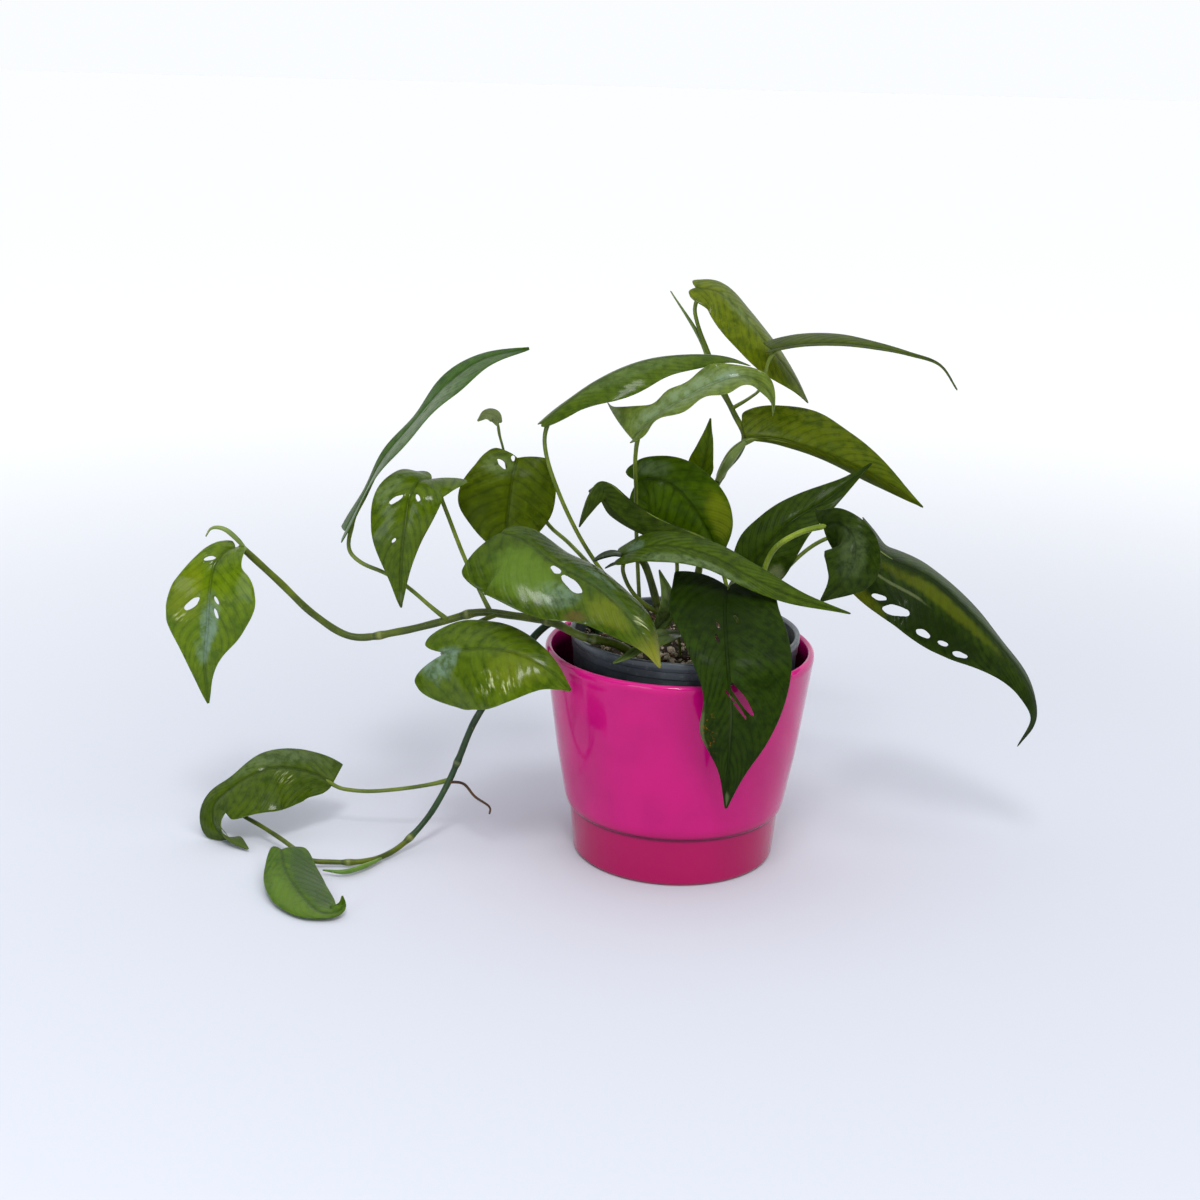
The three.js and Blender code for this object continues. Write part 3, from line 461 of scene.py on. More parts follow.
# older gives the length in metres up to which a stem is an older, darker green, rings its pale nodes
def stemSkin(name, tone, older=None, rings=()):
    material, tree, shader, place = newMaterial(name)
    light, deep, fleck, rough = stemTones[tone]
    along = addNode(tree, "ShaderNodeAttribute", attribute_name="along").outputs["Fac"]
    patch = noiseOf(place, 70)
    grain = noiseOf(stretched(place, (900, 900, 260)), 1.0, 4)
    ringWave = noiseOf(addNode(tree, "ShaderNodeCombineXYZ", {0: along}).outputs[0], 60, 2)
    layers = [(fade(patch, 0.32, 0.68), light), (fade(ringWave, 0.45, 0.7, 0.0, 0.5), deep)]
    if older:
        dark = mixColor(tree, fade(patch, 0.3, 0.7), olderStem["deep"], olderStem["light"])
        layers.append((fade(along, older - 0.003, older, 1.0, 0.0), dark))
    for spot in rings:
        for start, wide, share, color in nodeBands:
            near = calc("ABSOLUTE", calc("SUBTRACT", along, spot + start))
            layers.append((fade(near, 0.0002, wide, share, 0.0), color))
    layers.append((fade(grain, 0.62, 0.75, 0.0, 0.6), fleck))
    setShader(shader, Base_Color=layered(tree, deep, layers),
              Roughness=fade(grain, 0.3, 0.7, rough - 0.06, rough + 0.12),
              Specular_IOR_Level=0.3, Coat_Weight=0.1, Coat_Roughness=0.25)
    bumpOf(shader, multiply(patch, 1.5, grain), 0.25, 0.7)
    return material


glazeLook = {
    "deep": (0.50, 0.002, 0.158), "light": (0.60, 0.003, 0.185), "foot": (0.40, 0.0006, 0.082),
    # The crease colour is painted shade in the step above the foot
    "crease_shade": (0.1, 0.001, 0.035), "lip": (0.7, 0.04, 0.28), "speck": (0.3, 0.004, 0.12),
    # The inside colour is painted shade on the pot's inner wall
    "inside": (0.035, 0.001, 0.012),
}


# Inside the pot the glaze is painted dark: painted shade on its inner wall
def glazeSkin(name, inside=False):
    material, tree, shader, place = newMaterial(name)
    height = split(place)[2]
    pooled = noiseOf(place, 26, 2)
    # A dark line in the step above the foot: painted shade
    crease_shade = fade(height, 0.0246, 0.0262)
    layers = [
        (fade(pooled, 0.3, 0.7), glazeLook["light"]),
        (fade(height, 0.024, 0.034, 0.85, 0.0), glazeLook["foot"]),
        (multiply(crease_shade, fade(height, 0.0272, 0.0290, 0.85, 0.0)), glazeLook["crease_shade"]),
        (fade(height, 0.1105, 0.1128, 0.0, 0.3), glazeLook["lip"]),
        (fade(noiseOf(place, 900, 2), 0.72, 0.78, 0.0, 0.35), glazeLook["speck"]),
    ]
    # Painted shade on the inner wall below the lip
    if inside:
        layers.append((fade(height, 0.104, 0.111, 0.93, 0.0), glazeLook["inside"]))
    setShader(shader, Base_Color=layered(tree, glazeLook["deep"], layers),
              Roughness=fade(pooled, 0.3, 0.7, 0.07, 0.13), Specular_IOR_Level=0.3)
    wave = multiply(noiseOf(place, 130, 2), 0.35, noiseOf(place, 34, 1))
    bumpOf(shader, wave, 0.35, 0.6)
    return material


plasticLook = {"deep": (0.04, 0.052, 0.062), "light": (0.085, 0.105, 0.122), "dust": (0.2, 0.2, 0.19)}


def plasticSkin():
    material, tree, shader, place = newMaterial("slate_plastic")
    cloud = noiseOf(place, 30)
    scratch = noiseOf(stretched(place, (1800, 300, 900)), 1.0)
    dust = noiseOf(place, 420, 4)
    layers = [
        (fade(cloud, 0.3, 0.7), plasticLook["light"]),
        (fade(dust, 0.56, 0.74, 0.0, 0.35), plasticLook["dust"]),
    ]
    rough = multiply(dust, 0.2, fade(scratch, 0.35, 0.7, 0.2, 0.34))
    setShader(shader, Base_Color=layered(tree, plasticLook["deep"], layers), Roughness=rough)
    bumpOf(shader, multiply(cloud, 2.0, scratch), 0.08, 0.5)
    return material


# Soil and bits: dark and light colours, scale of the grain and roughness
soilTones = {
    "potting_mix": ((0.012, 0.007, 0.004), (0.07, 0.042, 0.022), 900, 0.95),
    "perlite": ((0.5, 0.4, 0.28), (0.78, 0.66, 0.5), 1500, 0.9),
    "bark": ((0.035, 0.014, 0.006), (0.2, 0.08, 0.025), 700, 0.9),
    "sand": ((0.2, 0.14, 0.08), (0.5, 0.4, 0.27), 1500, 0.9),
}


def soilSkin(name):
    material, tree, shader, place = newMaterial(name)
    dark, light, grainScale, rough = soilTones[name]
    crumbs = addNode(tree, "ShaderNodeTexVoronoi", {"Vector": place, "Scale": grainScale * 0.55})
    grain = noiseOf(place, grainScale, 4, 0.65)
    layers = [
        (fade(grain, 0.35, 0.7), light),
        (fade(noiseOf(place, 120), 0.45, 0.7, 0.0, 0.5), dark),
    ]
    setShader(shader, Base_Color=layered(tree, dark, layers),
              Roughness=fade(grain, 0.3, 0.7, rough - 0.15, rough))
    bumpOf(shader, multiply(crumbs.outputs["Distance"], -0.8, grain), 0.7, 0.9)
    return material


def floorSkin():
    material, tree, shader, place = newMaterial("pale_floor")
    # Lighter with distance from the pot: painted light in place of the lamps' falloff on the floor
    away = fade(lengthOf(place), 0.2, 1.5)
    setShader(shader, Base_Color=mixColor(tree, away, floorLook["near"], floorLook["far"]),
              Roughness=floorLook["roughness"], Specular_IOR_Level=0.2)
    return material


# Blades: grid size of a 90 mm leaf, wall, depth of the midrib's groove and how far veins sweep to the tip
bladeLook = {
    "rows": 46, "columns": 28, "thickMm": 0.6, "grooveMm": 0.35, "sweep": 0.24, "veinGapMm": 6.4,
    "quilting": 0.65, "leastHalfMm": 0.4,
}

# Leaves from left to right and front to back: tone, slot, quilting, tint (what the tone's colours are
# multiplied by), a shine in place of the tone's, tip colour from tipFrom on, patches (kind, t, v, long,
# wide, share), midrib from the stalk to the tip, the ways the upper side looks, half widths left and
# right, how far the lobes reach back, fold and curl in degrees, edge wave (height, count, shift), slits
# (t, v, long, wide, turn), the stalk from the blade downwards with its radius and skin (petiole), and
# keelTo, the share of the blade at which the raised midrib below it ends
leaves = {
    "leaf_01_far_left": {
        "tone": "fresh", "quilt": 0.45, "tint": (1.22, 1.28, 0.6),
        "patches": [("sheen", 0.52, -0.08, 0.2, 0.28, 0.75), ("sheen", 0.68, 0.05, 0.1, 0.4, 0.5),
            ("glint", 0.47, 0.62, 0.05, 0.22, 0.9), ("yellow", 0.35, 0.6, 0.2, 0.5, 0.45),
            ("dark", 0.1, 0.0, 0.12, 0.5, 0.3)],
        "midrib": [(-228, -8, 161), (-232, -14, 160), (-236, -20, 155), (-238, -25, 144), (-240, -25, 124),
            (-243, -21, 102), (-243, -16, 79)],
        "faces": [(-0.2, -0.6, 0.9), (-0.1, -1, 0.15), (0, -1, 0)],
        "half": [[1, 16, 26, 20, 10, 4, 0.4], [4, 11, 20, 22, 13, 6, 0.4]], "lobe": [3, 2],
        "fold": [16, 14], "curl": [-20, -20], "wave": (0.8, 3, 0),
        "slits": [(0.4, 0.38, 10, 3.6, -40), (0.16, 0.37, 6, 2.4, -50), (0.36, -0.18, 4.5, 2, 40),
            (0.43, -0.2, 6, 2, 30)],
    },
    "leaf_02_upper_left": {
        "tone": "grey", "slot": "leaf_grey", "quilt": 0.35, "tint": (0.62, 0.93, 0.45),
        "patches": [("bloom_and_sheen", 0.5, 0.5, 0.35, 0.6, 0.5)],
        "midrib": [(-174, 6, 167), (-165, 6, 185), (-154, 8, 206), (-140, 10, 223), (-123, 14, 243),
            (-105, 16, 256), (-81, 18, 262)],
        "faces": [(-0.8, -0.15, 0.5), (-0.72, -0.28, 0.62), (-0.4, -0.45, 0.85)],
        "half": [[12, 7, 5, 6, 8, 6, 0.4], [9, 12, 15, 17, 18, 12, 0.4]], "lobe": [2, 4], "fold": [10, 10],
        "curl": [-14, -14], "wave": (0.8, 3, 0.2), "slits": [(0.55, 0.3, 5, 2, 30)],
        "stalk": [(-172, 4, 158), (-166, 2, 152), (-153, 0, 147), (-142, -2, 141), (-127, -4, 129),
            (-120, -5, 124)],
    },
    "leaf_03_drooping": {
        "tone": "fresh", "quilt": 0.5, "tint": (0.85, 0.9, 0.3),
        "patches": [("bloom_and_sheen", 0.2, 0.7, 0.2, 0.4, 0.35), ("pale", 0.93, 0.1, 0.06, 0.6, 0.5)],
        "midrib": [(-129, 2, 197), (-135, -6, 197), (-139, -13, 190), (-141, -16, 176), (-143, -15, 157),
            (-144, -8, 131)],
        "faces": [(-0.2, -0.6, 0.85), (0, -1, 0.3), (0, -1, 0)],
        "half": [[11, 15, 16, 10, 6, 3, 0.4], [7, 16, 19, 17, 11, 5, 0.4]], "lobe": [16, 4], "fold": [8, 8],
        "curl": [-30, -30], "wave": (0.9, 3, 0.1),
        "slits": [(0.29, 0.34, 8, 2.6, -45), (0.27, -0.27, 4, 2, 40), (0.53, 0.28, 3, 1.4, -40)],
        "stalk": [(-127, 4, 192), (-123, 5, 182), (-113, 5, 156), (-104, 1, 138), (-98, -6, 129)],
    },
    "leaf_04_round_back": {
        "tone": "shade", "quilt": 0.45, "tint": (1.85, 1.6, 0.8), "shine": 0.03,
        "patches": [("bloom_and_sheen", 0.12, 0.4, 0.12, 0.6, 0.25)],
        "midrib": [(-87, 30, 203), (-89, 24, 195), (-91, 20, 180), (-92, 20, 165), (-92, 24, 148)],
        "faces": [(0, -1, 0.4), (0, -1, 0), (0, -1, -0.1)],
        "half": [[14, 22, 24, 23, 18, 11, 1], [12, 20, 26, 26, 18, 8, 1]], "lobe": [3, 3], "fold": [6, 6],
        "curl": [-16, -16], "wave": (0.8, 2, 0.3),
        "slits": [(0.12, 0.36, 7, 3, 62), (0.03, 0.14, 3.4, 2, 20)],
        "stalk": [(-86, 34, 199), (-79, 37, 179), (-70, 34, 166), (-60, 24, 160), (-46, 8, 150),
            (-37, -2, 142)],
    },
    "leaf_05_tiny": {
        "tone": "grey", "slot": "leaf_grey", "quilt": 0.1, "tint": (2.6, 2.5, 2.6),
        "patches": [("pale", 0.45, 0.1, 0.9, 2.4, 0.95)],
        "midrib": [(-97, 35, 220), (-100, 32, 224.5), (-104, 30, 225), (-108, 29, 222)],
        "faces": [(0, -0.85, 0.5), (-0.3, -0.85, 0.4)],
        "half": [[1.6, 2.6, 3.6, 3.4, 2.4, 1.6, 0.4], [1.6, 3, 3.8, 3.8, 3, 1.6, 0.4]], "lobe": [1, 1],
        "fold": [0, 0], "curl": [-40, -20], "wave": (0, 1, 0),
        "stalk": [(-97, 36, 214), (-95, 38, 206), (-89, 41, 178), (-72, 28, 148), (-48, 10, 126),
            (-30, 1, 120)],
        "stalkRadius": 0.8,
    },
    "leaf_06_front_left": {
        "tone": "fresh", "quilt": 0.6, "tint": (0.6, 0.68, 0.4), "tip": (0.42, 0.42, 0.05), "tipFrom": 0.8,
        "patches": [("fresh", 0.24, 0.45, 0.2, 0.5, 0.6), ("sheen", 0.42, 0.5, 0.1, 0.3, 0.4),
            ("sheen", 0.48, -0.33, 0.14, 0.12, 0.45), ("yellow", 0.66, 0.4, 0.14, 0.5, 0.35),
            ("dim", 0.6, -0.1, 0.3, 0.12, 0.5), ("glint", 0.8, -0.22, 0.08, 0.25, 0.9),
            ("brown", 0.55, 0.85, 0.07, 0.18, 0.6), ("dark", 0.3, -0.5, 0.22, 0.5, 0.35)],
        "midrib": [(-92, -26, 177), (-81, -31, 175), (-66, -39, 166), (-45, -48, 157), (-31, -55, 147),
            (-18, -62, 133), (-12, -65, 121)],
        "faces": [(0.1, -0.75, 0.7), (0.2, -0.75, 0.65), (0.4, -0.8, 0.5)],
        "half": [[2, 16, 25, 27, 23, 13, 0.4], [27, 35, 31, 25, 18, 9, 0.4]], "lobe": [0, 9],
        "fold": [-20, 6], "curl": [-50, -30], "wave": (1, 3, 0),
        "slits": [(0.33, 0.09, 6, 4, -10), (0.43, 0.21, 14, 5, -20)],
        "stalk": [(-96, -18, 171), (-88, -12, 160), (-78, -12, 146), (-66, -19, 130)],
    },
    "leaf_07_heart": {
        "tone": "fresh", "quilt": 0.6, "tint": (0.92, 0.98, 0.9),
        "patches": [("sheen", 0.05, 0.2, 0.12, 0.5, 0.65), ("glint", 0.42, 0.55, 0.12, 0.22, 0.85),
            ("glint", 0.6, 0.62, 0.1, 0.2, 0.9), ("yellow", 0.6, 0.3, 0.25, 0.5, 0.3)],
        "midrib": [(-119, -36, 116.5), (-111, -40, 119.5), (-102, -43.5, 121.8), (-92, -47, 122.8),
            (-78, -52, 121), (-65, -56, 115), (-55, -58, 106)],
        "faces": [(0, -0.9, 0.4), (0, -0.8, 0.6), (0, -0.8, 0.5)],
        "half": [[7, 17, 17, 15, 10, 5, 0.4], [12, 28, 31, 30, 24, 11, 0.4]], "lobe": [13, 20],
        "fold": [-12, 6], "curl": [-20, -24], "wave": (0.8, 3, 0),
        "stalk": [(-121, -30, 114), (-112, -18, 122), (-100, -10, 127), (-94, -8, 129)],
    },
    "leaf_08_trailing": {
        "tone": "fresh", "quilt": 0.4, "tint": (0.64, 0.7, 0.6),
        "patches": [("glint", 0.26, -0.25, 0.07, 0.2, 0.5), ("bloom_and_sheen", 0.3, 0.6, 0.3, 0.5, 0.3)],
        "midrib": [(-183, 8, 26.5), (-194, 9, 31.5), (-211, 5, 36), (-221, 1, 35), (-234, -3, 28),
            (-245, -5, 17), (-243, -12, 8), (-234, -18, 4), (-223, -25, 1.6)],
        "faces": [(0.1, -0.6, 0.8), (0, -0.6, 0.8), (-0.4, -0.6, 0.6), (-0.2, 0.6, -0.75)],
        "half": [[3, 21, 26, 22, 14, 4, 0.4], [13, 14, 11, 6, 9, 9, 0.4]], "lobe": [0, 0], "fold": [6, 6],
        "curl": [-20, -20], "wave": (0.6, 2, 0),
        "stalk": [(-179, 5, 25), (-173, 5, 24), (-163, 4, 24), (-144, 2, 27), (-128, 0, 31),
            (-119, -1, 34)],
    },
    "leaf_09_lowest": {
        "tone": "fresh", "quilt": 0.35, "tint": (0.72, 0.97, 0.2),
        "patches": [("dim", 0.35, -0.55, 0.5, 0.55, 0.7), ("fresh", 0.55, 0.5, 0.4, 0.5, 0.6)],
        "midrib": [(-202, -44, 11), (-197, -62, 8), (-185, -84, 5), (-174, -98, 3.2), (-167, -99, 3.2),
            (-163, -94, 4.6), (-164, -92, 9)],
        "faces": [(0.2, -0.3, 1), (0.2, -0.3, 1), (0.3, 0, 1)],
        "half": [[12, 17, 18, 16, 14, 9, 0.4], [4, 9, 13, 14, 11, 4, 0.4]], "lobe": [4, 3],
        "fold": [-4, -8], "curl": [-10, -10], "wave": (0.5, 2, 0),
        "stalk": [(-199, -40, 9), (-192, -39, 6)],
    },
    "leaf_10_long_top": {
        "tone": "middle", "quilt": 0.35, "tint": (1.12, 1.15, 1.0),
        "patches": [("bloom_and_sheen", 0.45, 0.2, 0.3, 0.35, 0.2)],
        "midrib": [(-74, 2, 227), (-62, 4, 237), (-45, 6, 249), (-21, 10, 259), (5, 12, 262), (20, 12, 261),
            (31, 12, 257)],
        "faces": [(-0.3, -0.75, 0.6), (-0.1, -0.7, 0.7), (0, -0.6, 0.8)],
        "half": [[4, 11, 14, 15, 14, 8, 0.4], [2, 8, 15, 15, 11, 6, 0.4]], "lobe": [2, 1], "fold": [-45, 4],
        "curl": [-30, -20], "wave": (0.8, 3, 0),
        "stalk": [(-72, 3, 221), (-71, 3, 210), (-64, 3, 190), (-54, 1, 170), (-46, -2, 158),
            (-36, -2, 144)],
    },
    "leaf_11_wavy": {
        "tone": "grey", "slot": "leaf_grey", "quilt": 0.3, "tint": (1.85, 1.65, 1.25),
        "patches": [("bloom_and_sheen", 0.4, -0.1, 0.4, 0.9, 0.9), ("sheen", 0.62, -0.1, 0.08, 0.3, 0.4)],
        "midrib": [(-28, -4, 221), (-19, -6, 232), (-5, -8, 242), (11, -8, 251), (25, -8, 255),
            (36, -8, 251), (41, -10, 243), (41, -10, 236)],
        "faces": [(-0.3, -0.4, 0.9), (-0.3, -0.5, 0.8), (0.3, -0.5, 0.8)],
        "half": [[37, 11, 8, 10, 8, 4, 0.4], [4, 8, 10, 11, 11, 5, 0.4]], "lobe": [2, 1], "fold": [20, 20],
        "curl": [-20, -20], "wave": (1.6, 4, 0),
        "stalk": [(-26, -1, 213), (-25, 8, 192), (-24, 12, 168), (-22, 11, 140), (-20, 8, 116),
            (-20, 8, 104)],
    },
    "leaf_12_round_lit": {
        "tone": "shade", "quilt": 0.3, "tint": (1.3, 1.45, 0.2),
        "patches": [("bloom_and_sheen", 0.15, -0.5, 0.12, 0.4, 0.35), ("yellow", 0.7, -0.6, 0.25, 0.5, 0.5)],
        "midrib": [(-24, 22, 194), (-17, 20, 196), (-6, 18, 193), (4, 18, 183), (13, 20, 169),
            (21, 24, 153)],
        "faces": [(0, -0.9, 0.4), (0.1, -1, 0.1), (0.1, -1, 0)],
        "half": [[6, 12, 16, 18, 17, 12, 0.4], [12, 21, 24, 22, 18, 11, 0.4]], "lobe": [6, 6],
        "fold": [6, 6], "curl": [-24, -16], "wave": (0.8, 2, 0),
        "stalk": [(-22, 27, 188), (-15, 30, 170), (-2, 30, 150), (-4, 24, 128), (-6, 18, 113),
            (-6, 17, 104)],
    },
    "leaf_13_small_back": {
        "tone": "shade", "quilt": 0.15, "tint": (2.3, 2.1, 1.6),
        "midrib": [(10, 50, 190), (12, 48, 204), (14, 49, 223)], "faces": [(0.1, -1, 0.2), (0.1, -1, 0.1)],
        "half": [[3, 8, 8, 6, 4, 2, 0.4], [3, 6, 5, 4, 3, 1.5, 0.4]], "lobe": [2, 2], "fold": [6, 6],
        "curl": [-20, -20], "wave": (0, 1, 0), "stalk": [(10, 51, 184), (13, 48, 177)], "stalkRadius": 0.9,
    },
    "leaf_14_dark_folded": {
        "tone": "dark", "slot": "leaf_dark", "quilt": 0.3, "tint": (2.5, 2.0, 2.0),
        "midrib": [(15, 8, 167), (3, 4, 173), (-14, -1, 181), (-28, -6, 191), (-37, -9, 199),
            (-43.6, -13, 201.5), (-48.5, -18, 196), (-51.5, -20, 188), (-53.5, -20, 179)],
        "faces": [(0.2, -0.5, 0.9), (0.3, -0.5, 0.8), (-0.3, -0.8, 0.5)],
        "half": [[5, 9, 11, 11, 10, 7, 0.4], [6, 14, 19, 20, 15, 8, 0.4]], "lobe": [4, 4],
        "fold": [-30, -70], "curl": [-10, -20], "wave": (0.6, 2, 0),
        "stalk": [(18, 9, 160), (22, 8, 148), (26, 4, 134), (29, 0, 124)],
    },
    "leaf_15_long_front": {
        "tone": "dark", "slot": "leaf_dark", "quilt": 0.3, "tint": (3.9, 3.2, 2.0),
        "patches": [("bloom_and_sheen", 0.35, 0.75, 0.3, 0.3, 0.45), ("sheen", 0.08, -0.3, 0.05, 0.4, 0.4)],
        "midrib": [(-32, -18, 164), (-20, -24, 171), (-5, -30, 173), (13, -36, 170), (31, -42, 162),
            (51, -46, 154), (81, -48, 146)],
        "faces": [(0, -0.4, 0.9), (0.1, -0.4, 0.9), (0.1, -0.6, 0.8)],
        "half": [[8, 13, 13, 11, 8, 4, 0.4], [5, 12, 12, 10, 7, 4, 0.4]], "lobe": [4, 3], "fold": [8, 8],
        "curl": [-24, -20], "wave": (0.6, 2, 0),
        "stalk": [(-31, -15, 158), (-28, -14, 148), (-22, -13, 140), (-12, -9, 132)],
    },
    "leaf_16_over_the_rim": {
        "tone": "dark", "slot": "leaf_dark", "quilt": 0.45, "tint": (1.3, 1.35, 0.6), "shine": 0.015,
        "patches": [("pale", 0.65, 0.95, 0.12, 0.1, 0.5), ("orange", 0.67, 0.75, 0.1, 0.35, 0.45),
            ("pale", 0.96, 0.1, 0.04, 0.6, 0.6), ("pale", 0.62, 0.03, 0.15, 0.06, 0.12),
            ("dark", 0.15, 0.1, 0.25, 0.9, 0.6)],
        "midrib": [(21, -36, 155), (19, -50, 149), (19, -66, 139), (20, -79, 125), (22, -84, 105),
            (22, -83, 80), (22, -80, 55)],
        "faces": [(0, -0.3, 1), (0, -0.9, 0.5), (0, -1, 0.1), (0, -1, 0)],
        "half": [[18, 27, 31, 29, 20, 9, 0.4], [28, 28, 20, 13, 15, 5, 0.4]], "lobe": [8, 10],
        "fold": [8, 8], "curl": [-20, -26], "wave": (1, 3, 0),
        "slits": [(0.21, -0.2, 7, 2, 15), (0.24, 0.14, 5, 1.8, 10), (0.3, 0.2, 5, 1.8, 10),
            (0.54, -0.2, 19, 3.4, 35), (0.56, -0.1, 19, 1.4, 35)],
        "stalk": [(24, -30, 156), (26, -22, 154), (29, -10, 144), (31, -2, 134)],
    },
    "leaf_17_right_back": {
        "tone": "shade", "slot": "leaf_dark", "quilt": 0.35, "tint": (0.75, 0.85, 0.5),
        "patches": [("pale", 0.14, 0.75, 0.08, 0.3, 0.9)],
        "midrib": [(33, 12, 146), (42, 14, 160), (56, 18, 175), (76, 24, 187), (98, 30, 205)],
        "faces": [(-0.2, -1, 0.3), (-0.2, -0.8, 0.6), (-0.2, -0.8, 0.6)],
        "half": [[4, 14, 14, 12, 9, 4, 0.4], [12, 17, 15, 11, 6, 3, 0.4]], "lobe": [3, 6], "fold": [6, 6],
        "curl": [-16, -16], "wave": (0.6, 2, 0),
        "stalk": [(30, 10, 138), (24, 10, 122), (20, 10, 110), (20, 10, 104)],
    },
    "leaf_18_folded": {
        "tone": "dark", "slot": "leaf_dark", "quilt": 0.4, "tint": (1.7, 1.5, 1.2),
        "patches": [("bloom_and_sheen", 0.5, 0.0, 0.3, 0.6, 0.15)],
        "midrib": [(69, -14, 181), (75, -22, 185), (82, -30, 180), (82, -36, 169), (77, -38, 159),
            (67, -38, 149)],
        "faces": [(-0.8, -0.55, 0.1), (0, -1, 0.35), (0, -1, 0)],
        "half": [[11, 8, 9, 14, 14, 6, 0.4], [14, 16, 17, 16, 14, 6, 0.4]], "lobe": [6, 0],
        "fold": [0, -10], "curl": [-25, -35], "wave": (0.6, 2, 0),
        "stalk": [(61, -10, 178), (54, -8, 174), (47, -6, 168), (43, -4, 160), (41, -3, 150), (39, -2, 134),
            (37, -3, 114), (37, -3, 104)],
        "stalkRadius": 1.7, "petiole": "bright_petiole",
    },
    "leaf_19_long_right": {
        "tone": "dark", "slot": "leaf_dark", "quilt": 0.45, "tint": (1.45, 1.35, 0.9),
        "patches": [("dark", 0.35, 0.7, 0.35, 0.35, 0.7), ("yellow", 0.35, 0.2, 0.3, 0.14, 0.24),
            ("pale", 0.2, 0.42, 0.14, 0.035, 0.5), ("dark", 0.35, 0.02, 0.3, 0.06, 0.6),
            ("yellow", 0.1, 0.95, 0.1, 0.2, 0.35), ("bloom_and_sheen", 0.4, -0.55, 0.4, 0.5, 0.22)],
        "midrib": [(95, 8, 172), (103, 4, 163), (127, -2, 153), (146, -8, 138), (164, -14, 120),
            (179, -18, 101), (184, -20, 84), (175, -22, 69)],
        "faces": [(0.3, -0.8, 0.5), (0.3, -0.8, 0.5), (0.6, -0.8, 0.4)],
        "half": [[22, 25, 22, 20, 16, 8, 0.4], [16, 30, 34, 27, 14, 6, 0.4]], "lobe": [10, 8],
        "fold": [-40, 4], "curl": [-20, -20], "wave": (0.8, 3, 0),
        "slits": [(0.16, 0.74, 8, 3, 20), (0.22, 0.78, 14, 5.4, 20), (0.38, 0.82, 8, 3.6, 10),
            (0.45, 0.78, 6, 2.4, 10), (0.52, 0.82, 8, 3, 10)],
        "stalk": [(88, 10, 172), (70, 12, 166), (50, 10, 146), (42, 12, 126), (38, 14, 112), (38, 14, 104)],
    },
    "leaf_20_right_upper": {
        "tone": "middle", "quilt": 0.35, "tint": (1.3, 1.1, 0.5), "shine": 0.03,
        "midrib": [(33, 50, 213), (49, 48, 213), (78, 44, 206), (104, 40, 195), (128, 38, 180)],
        "faces": [(0.1, -0.8, 0.6), (0.2, -0.8, 0.6), (0.3, -0.8, 0.6)],
        "half": [[14, 21, 24, 18, 12, 6, 0.4], [1.4, 4, 6, 8, 8, 5, 0.4]], "lobe": [3, 0], "fold": [4, -70],
        "curl": [-20, -30], "wave": (0.6, 2, 0), "stalk": [(27, 50, 206), (22, 50, 197), (20, 51, 190)],
        "stalkRadius": 2.1,
    },
    "leaf_21_topmost": {
        "tone": "middle", "quilt": 0.3, "tint": (1.75, 1.42, 1.0),
        "patches": [("bloom_and_sheen", 0.3, 0.0, 0.2, 0.3, 0.3)],
        "midrib": [(4, 62, 290), (16, 60, 288), (31, 58, 275), (46, 56, 258), (59, 56, 242), (66, 56, 231)],
        "faces": [(0.2, -0.8, 0.6), (0.5, -0.75, 0.45), (0.6, -0.6, 0.3)],
        "half": [[6, 13, 15, 15, 13, 8, 0.4], [4, 13, 17, 17, 14, 8, 0.4]], "lobe": [3, 3],
        "fold": [-25, 4], "curl": [-20, -20], "wave": (0.5, 2, 0),
        "stalk": [(4, 62, 280), (6, 62, 270), (12, 62, 256), (18, 61, 242), (22, 60, 233)],
    },
    "leaf_22_top_right": {
        "tone": "middle", "slot": "leaf_grey", "quilt": 0.2, "tint": (0.95, 0.85, 0.8),
        "midrib": [(43, 38, 262), (58, 38, 265), (79, 38, 266), (99, 38, 264), (115, 38, 261),
            (131, 38, 256), (141, 38, 243)],
        "faces": [(0, -0.3, 1), (0.1, -0.3, 1), (0.3, -0.3, 0.9)],
        "half": [[9, 13, 12, 7, 3, 1.5, 0.6], [3, 3, 3, 2.5, 1.5, 1, 0.6]], "lobe": [3, 3], "fold": [6, 6],
        "curl": [-16, -16], "wave": (0, 1, 0),
        "stalk": [(42, 38, 256), (41, 38, 250), (39, 41, 241), (34, 50, 234), (26, 58, 227)],
        "stalkRadius": 1, "keelTo": 0.55,
    },
    "leaf_23_small_grey": {
        "tone": "grey", "slot": "leaf_grey", "quilt": 0.1, "tint": (1.6, 1.5, 1.8),
        "midrib": [(-13, -20, 126), (-6, -26, 138), (-8, -30, 151), (-13, -30, 161)],
        "faces": [(0.3, -1, 0.1), (0.3, -1, 0.1)],
        "half": [[2, 5, 7, 7, 5, 3, 0.4], [1, 3, 3, 3, 2, 1, 0.4]], "lobe": [1, 1], "fold": [8, 8],
        "curl": [-10, -10], "wave": (0, 1, 0), "stalk": [(-13, -19, 118), (-13, -19, 106)],
        "stalkRadius": 0.8,
    },
    "leaf_24_small_low": {
        "tone": "grey", "slot": "leaf_grey", "quilt": 0.1, "tint": (1.5, 1.4, 1.6),
        "midrib": [(-1, -30, 128), (-12, -44, 131), (-24, -54, 127), (-35, -62, 122)],
        "faces": [(0, -0.6, 0.8), (0, -0.6, 0.8)],
        "half": [[1, 4, 6, 6, 4, 3, 0.4], [1, 3, 4, 3, 2, 1, 0.4]], "lobe": [1, 1], "fold": [8, 8],
        "curl": [-10, -10], "wave": (0, 1, 0), "stalk": [(-1, -27, 120), (-1, -27, 106)],
        "stalkRadius": 0.8,
    },
}


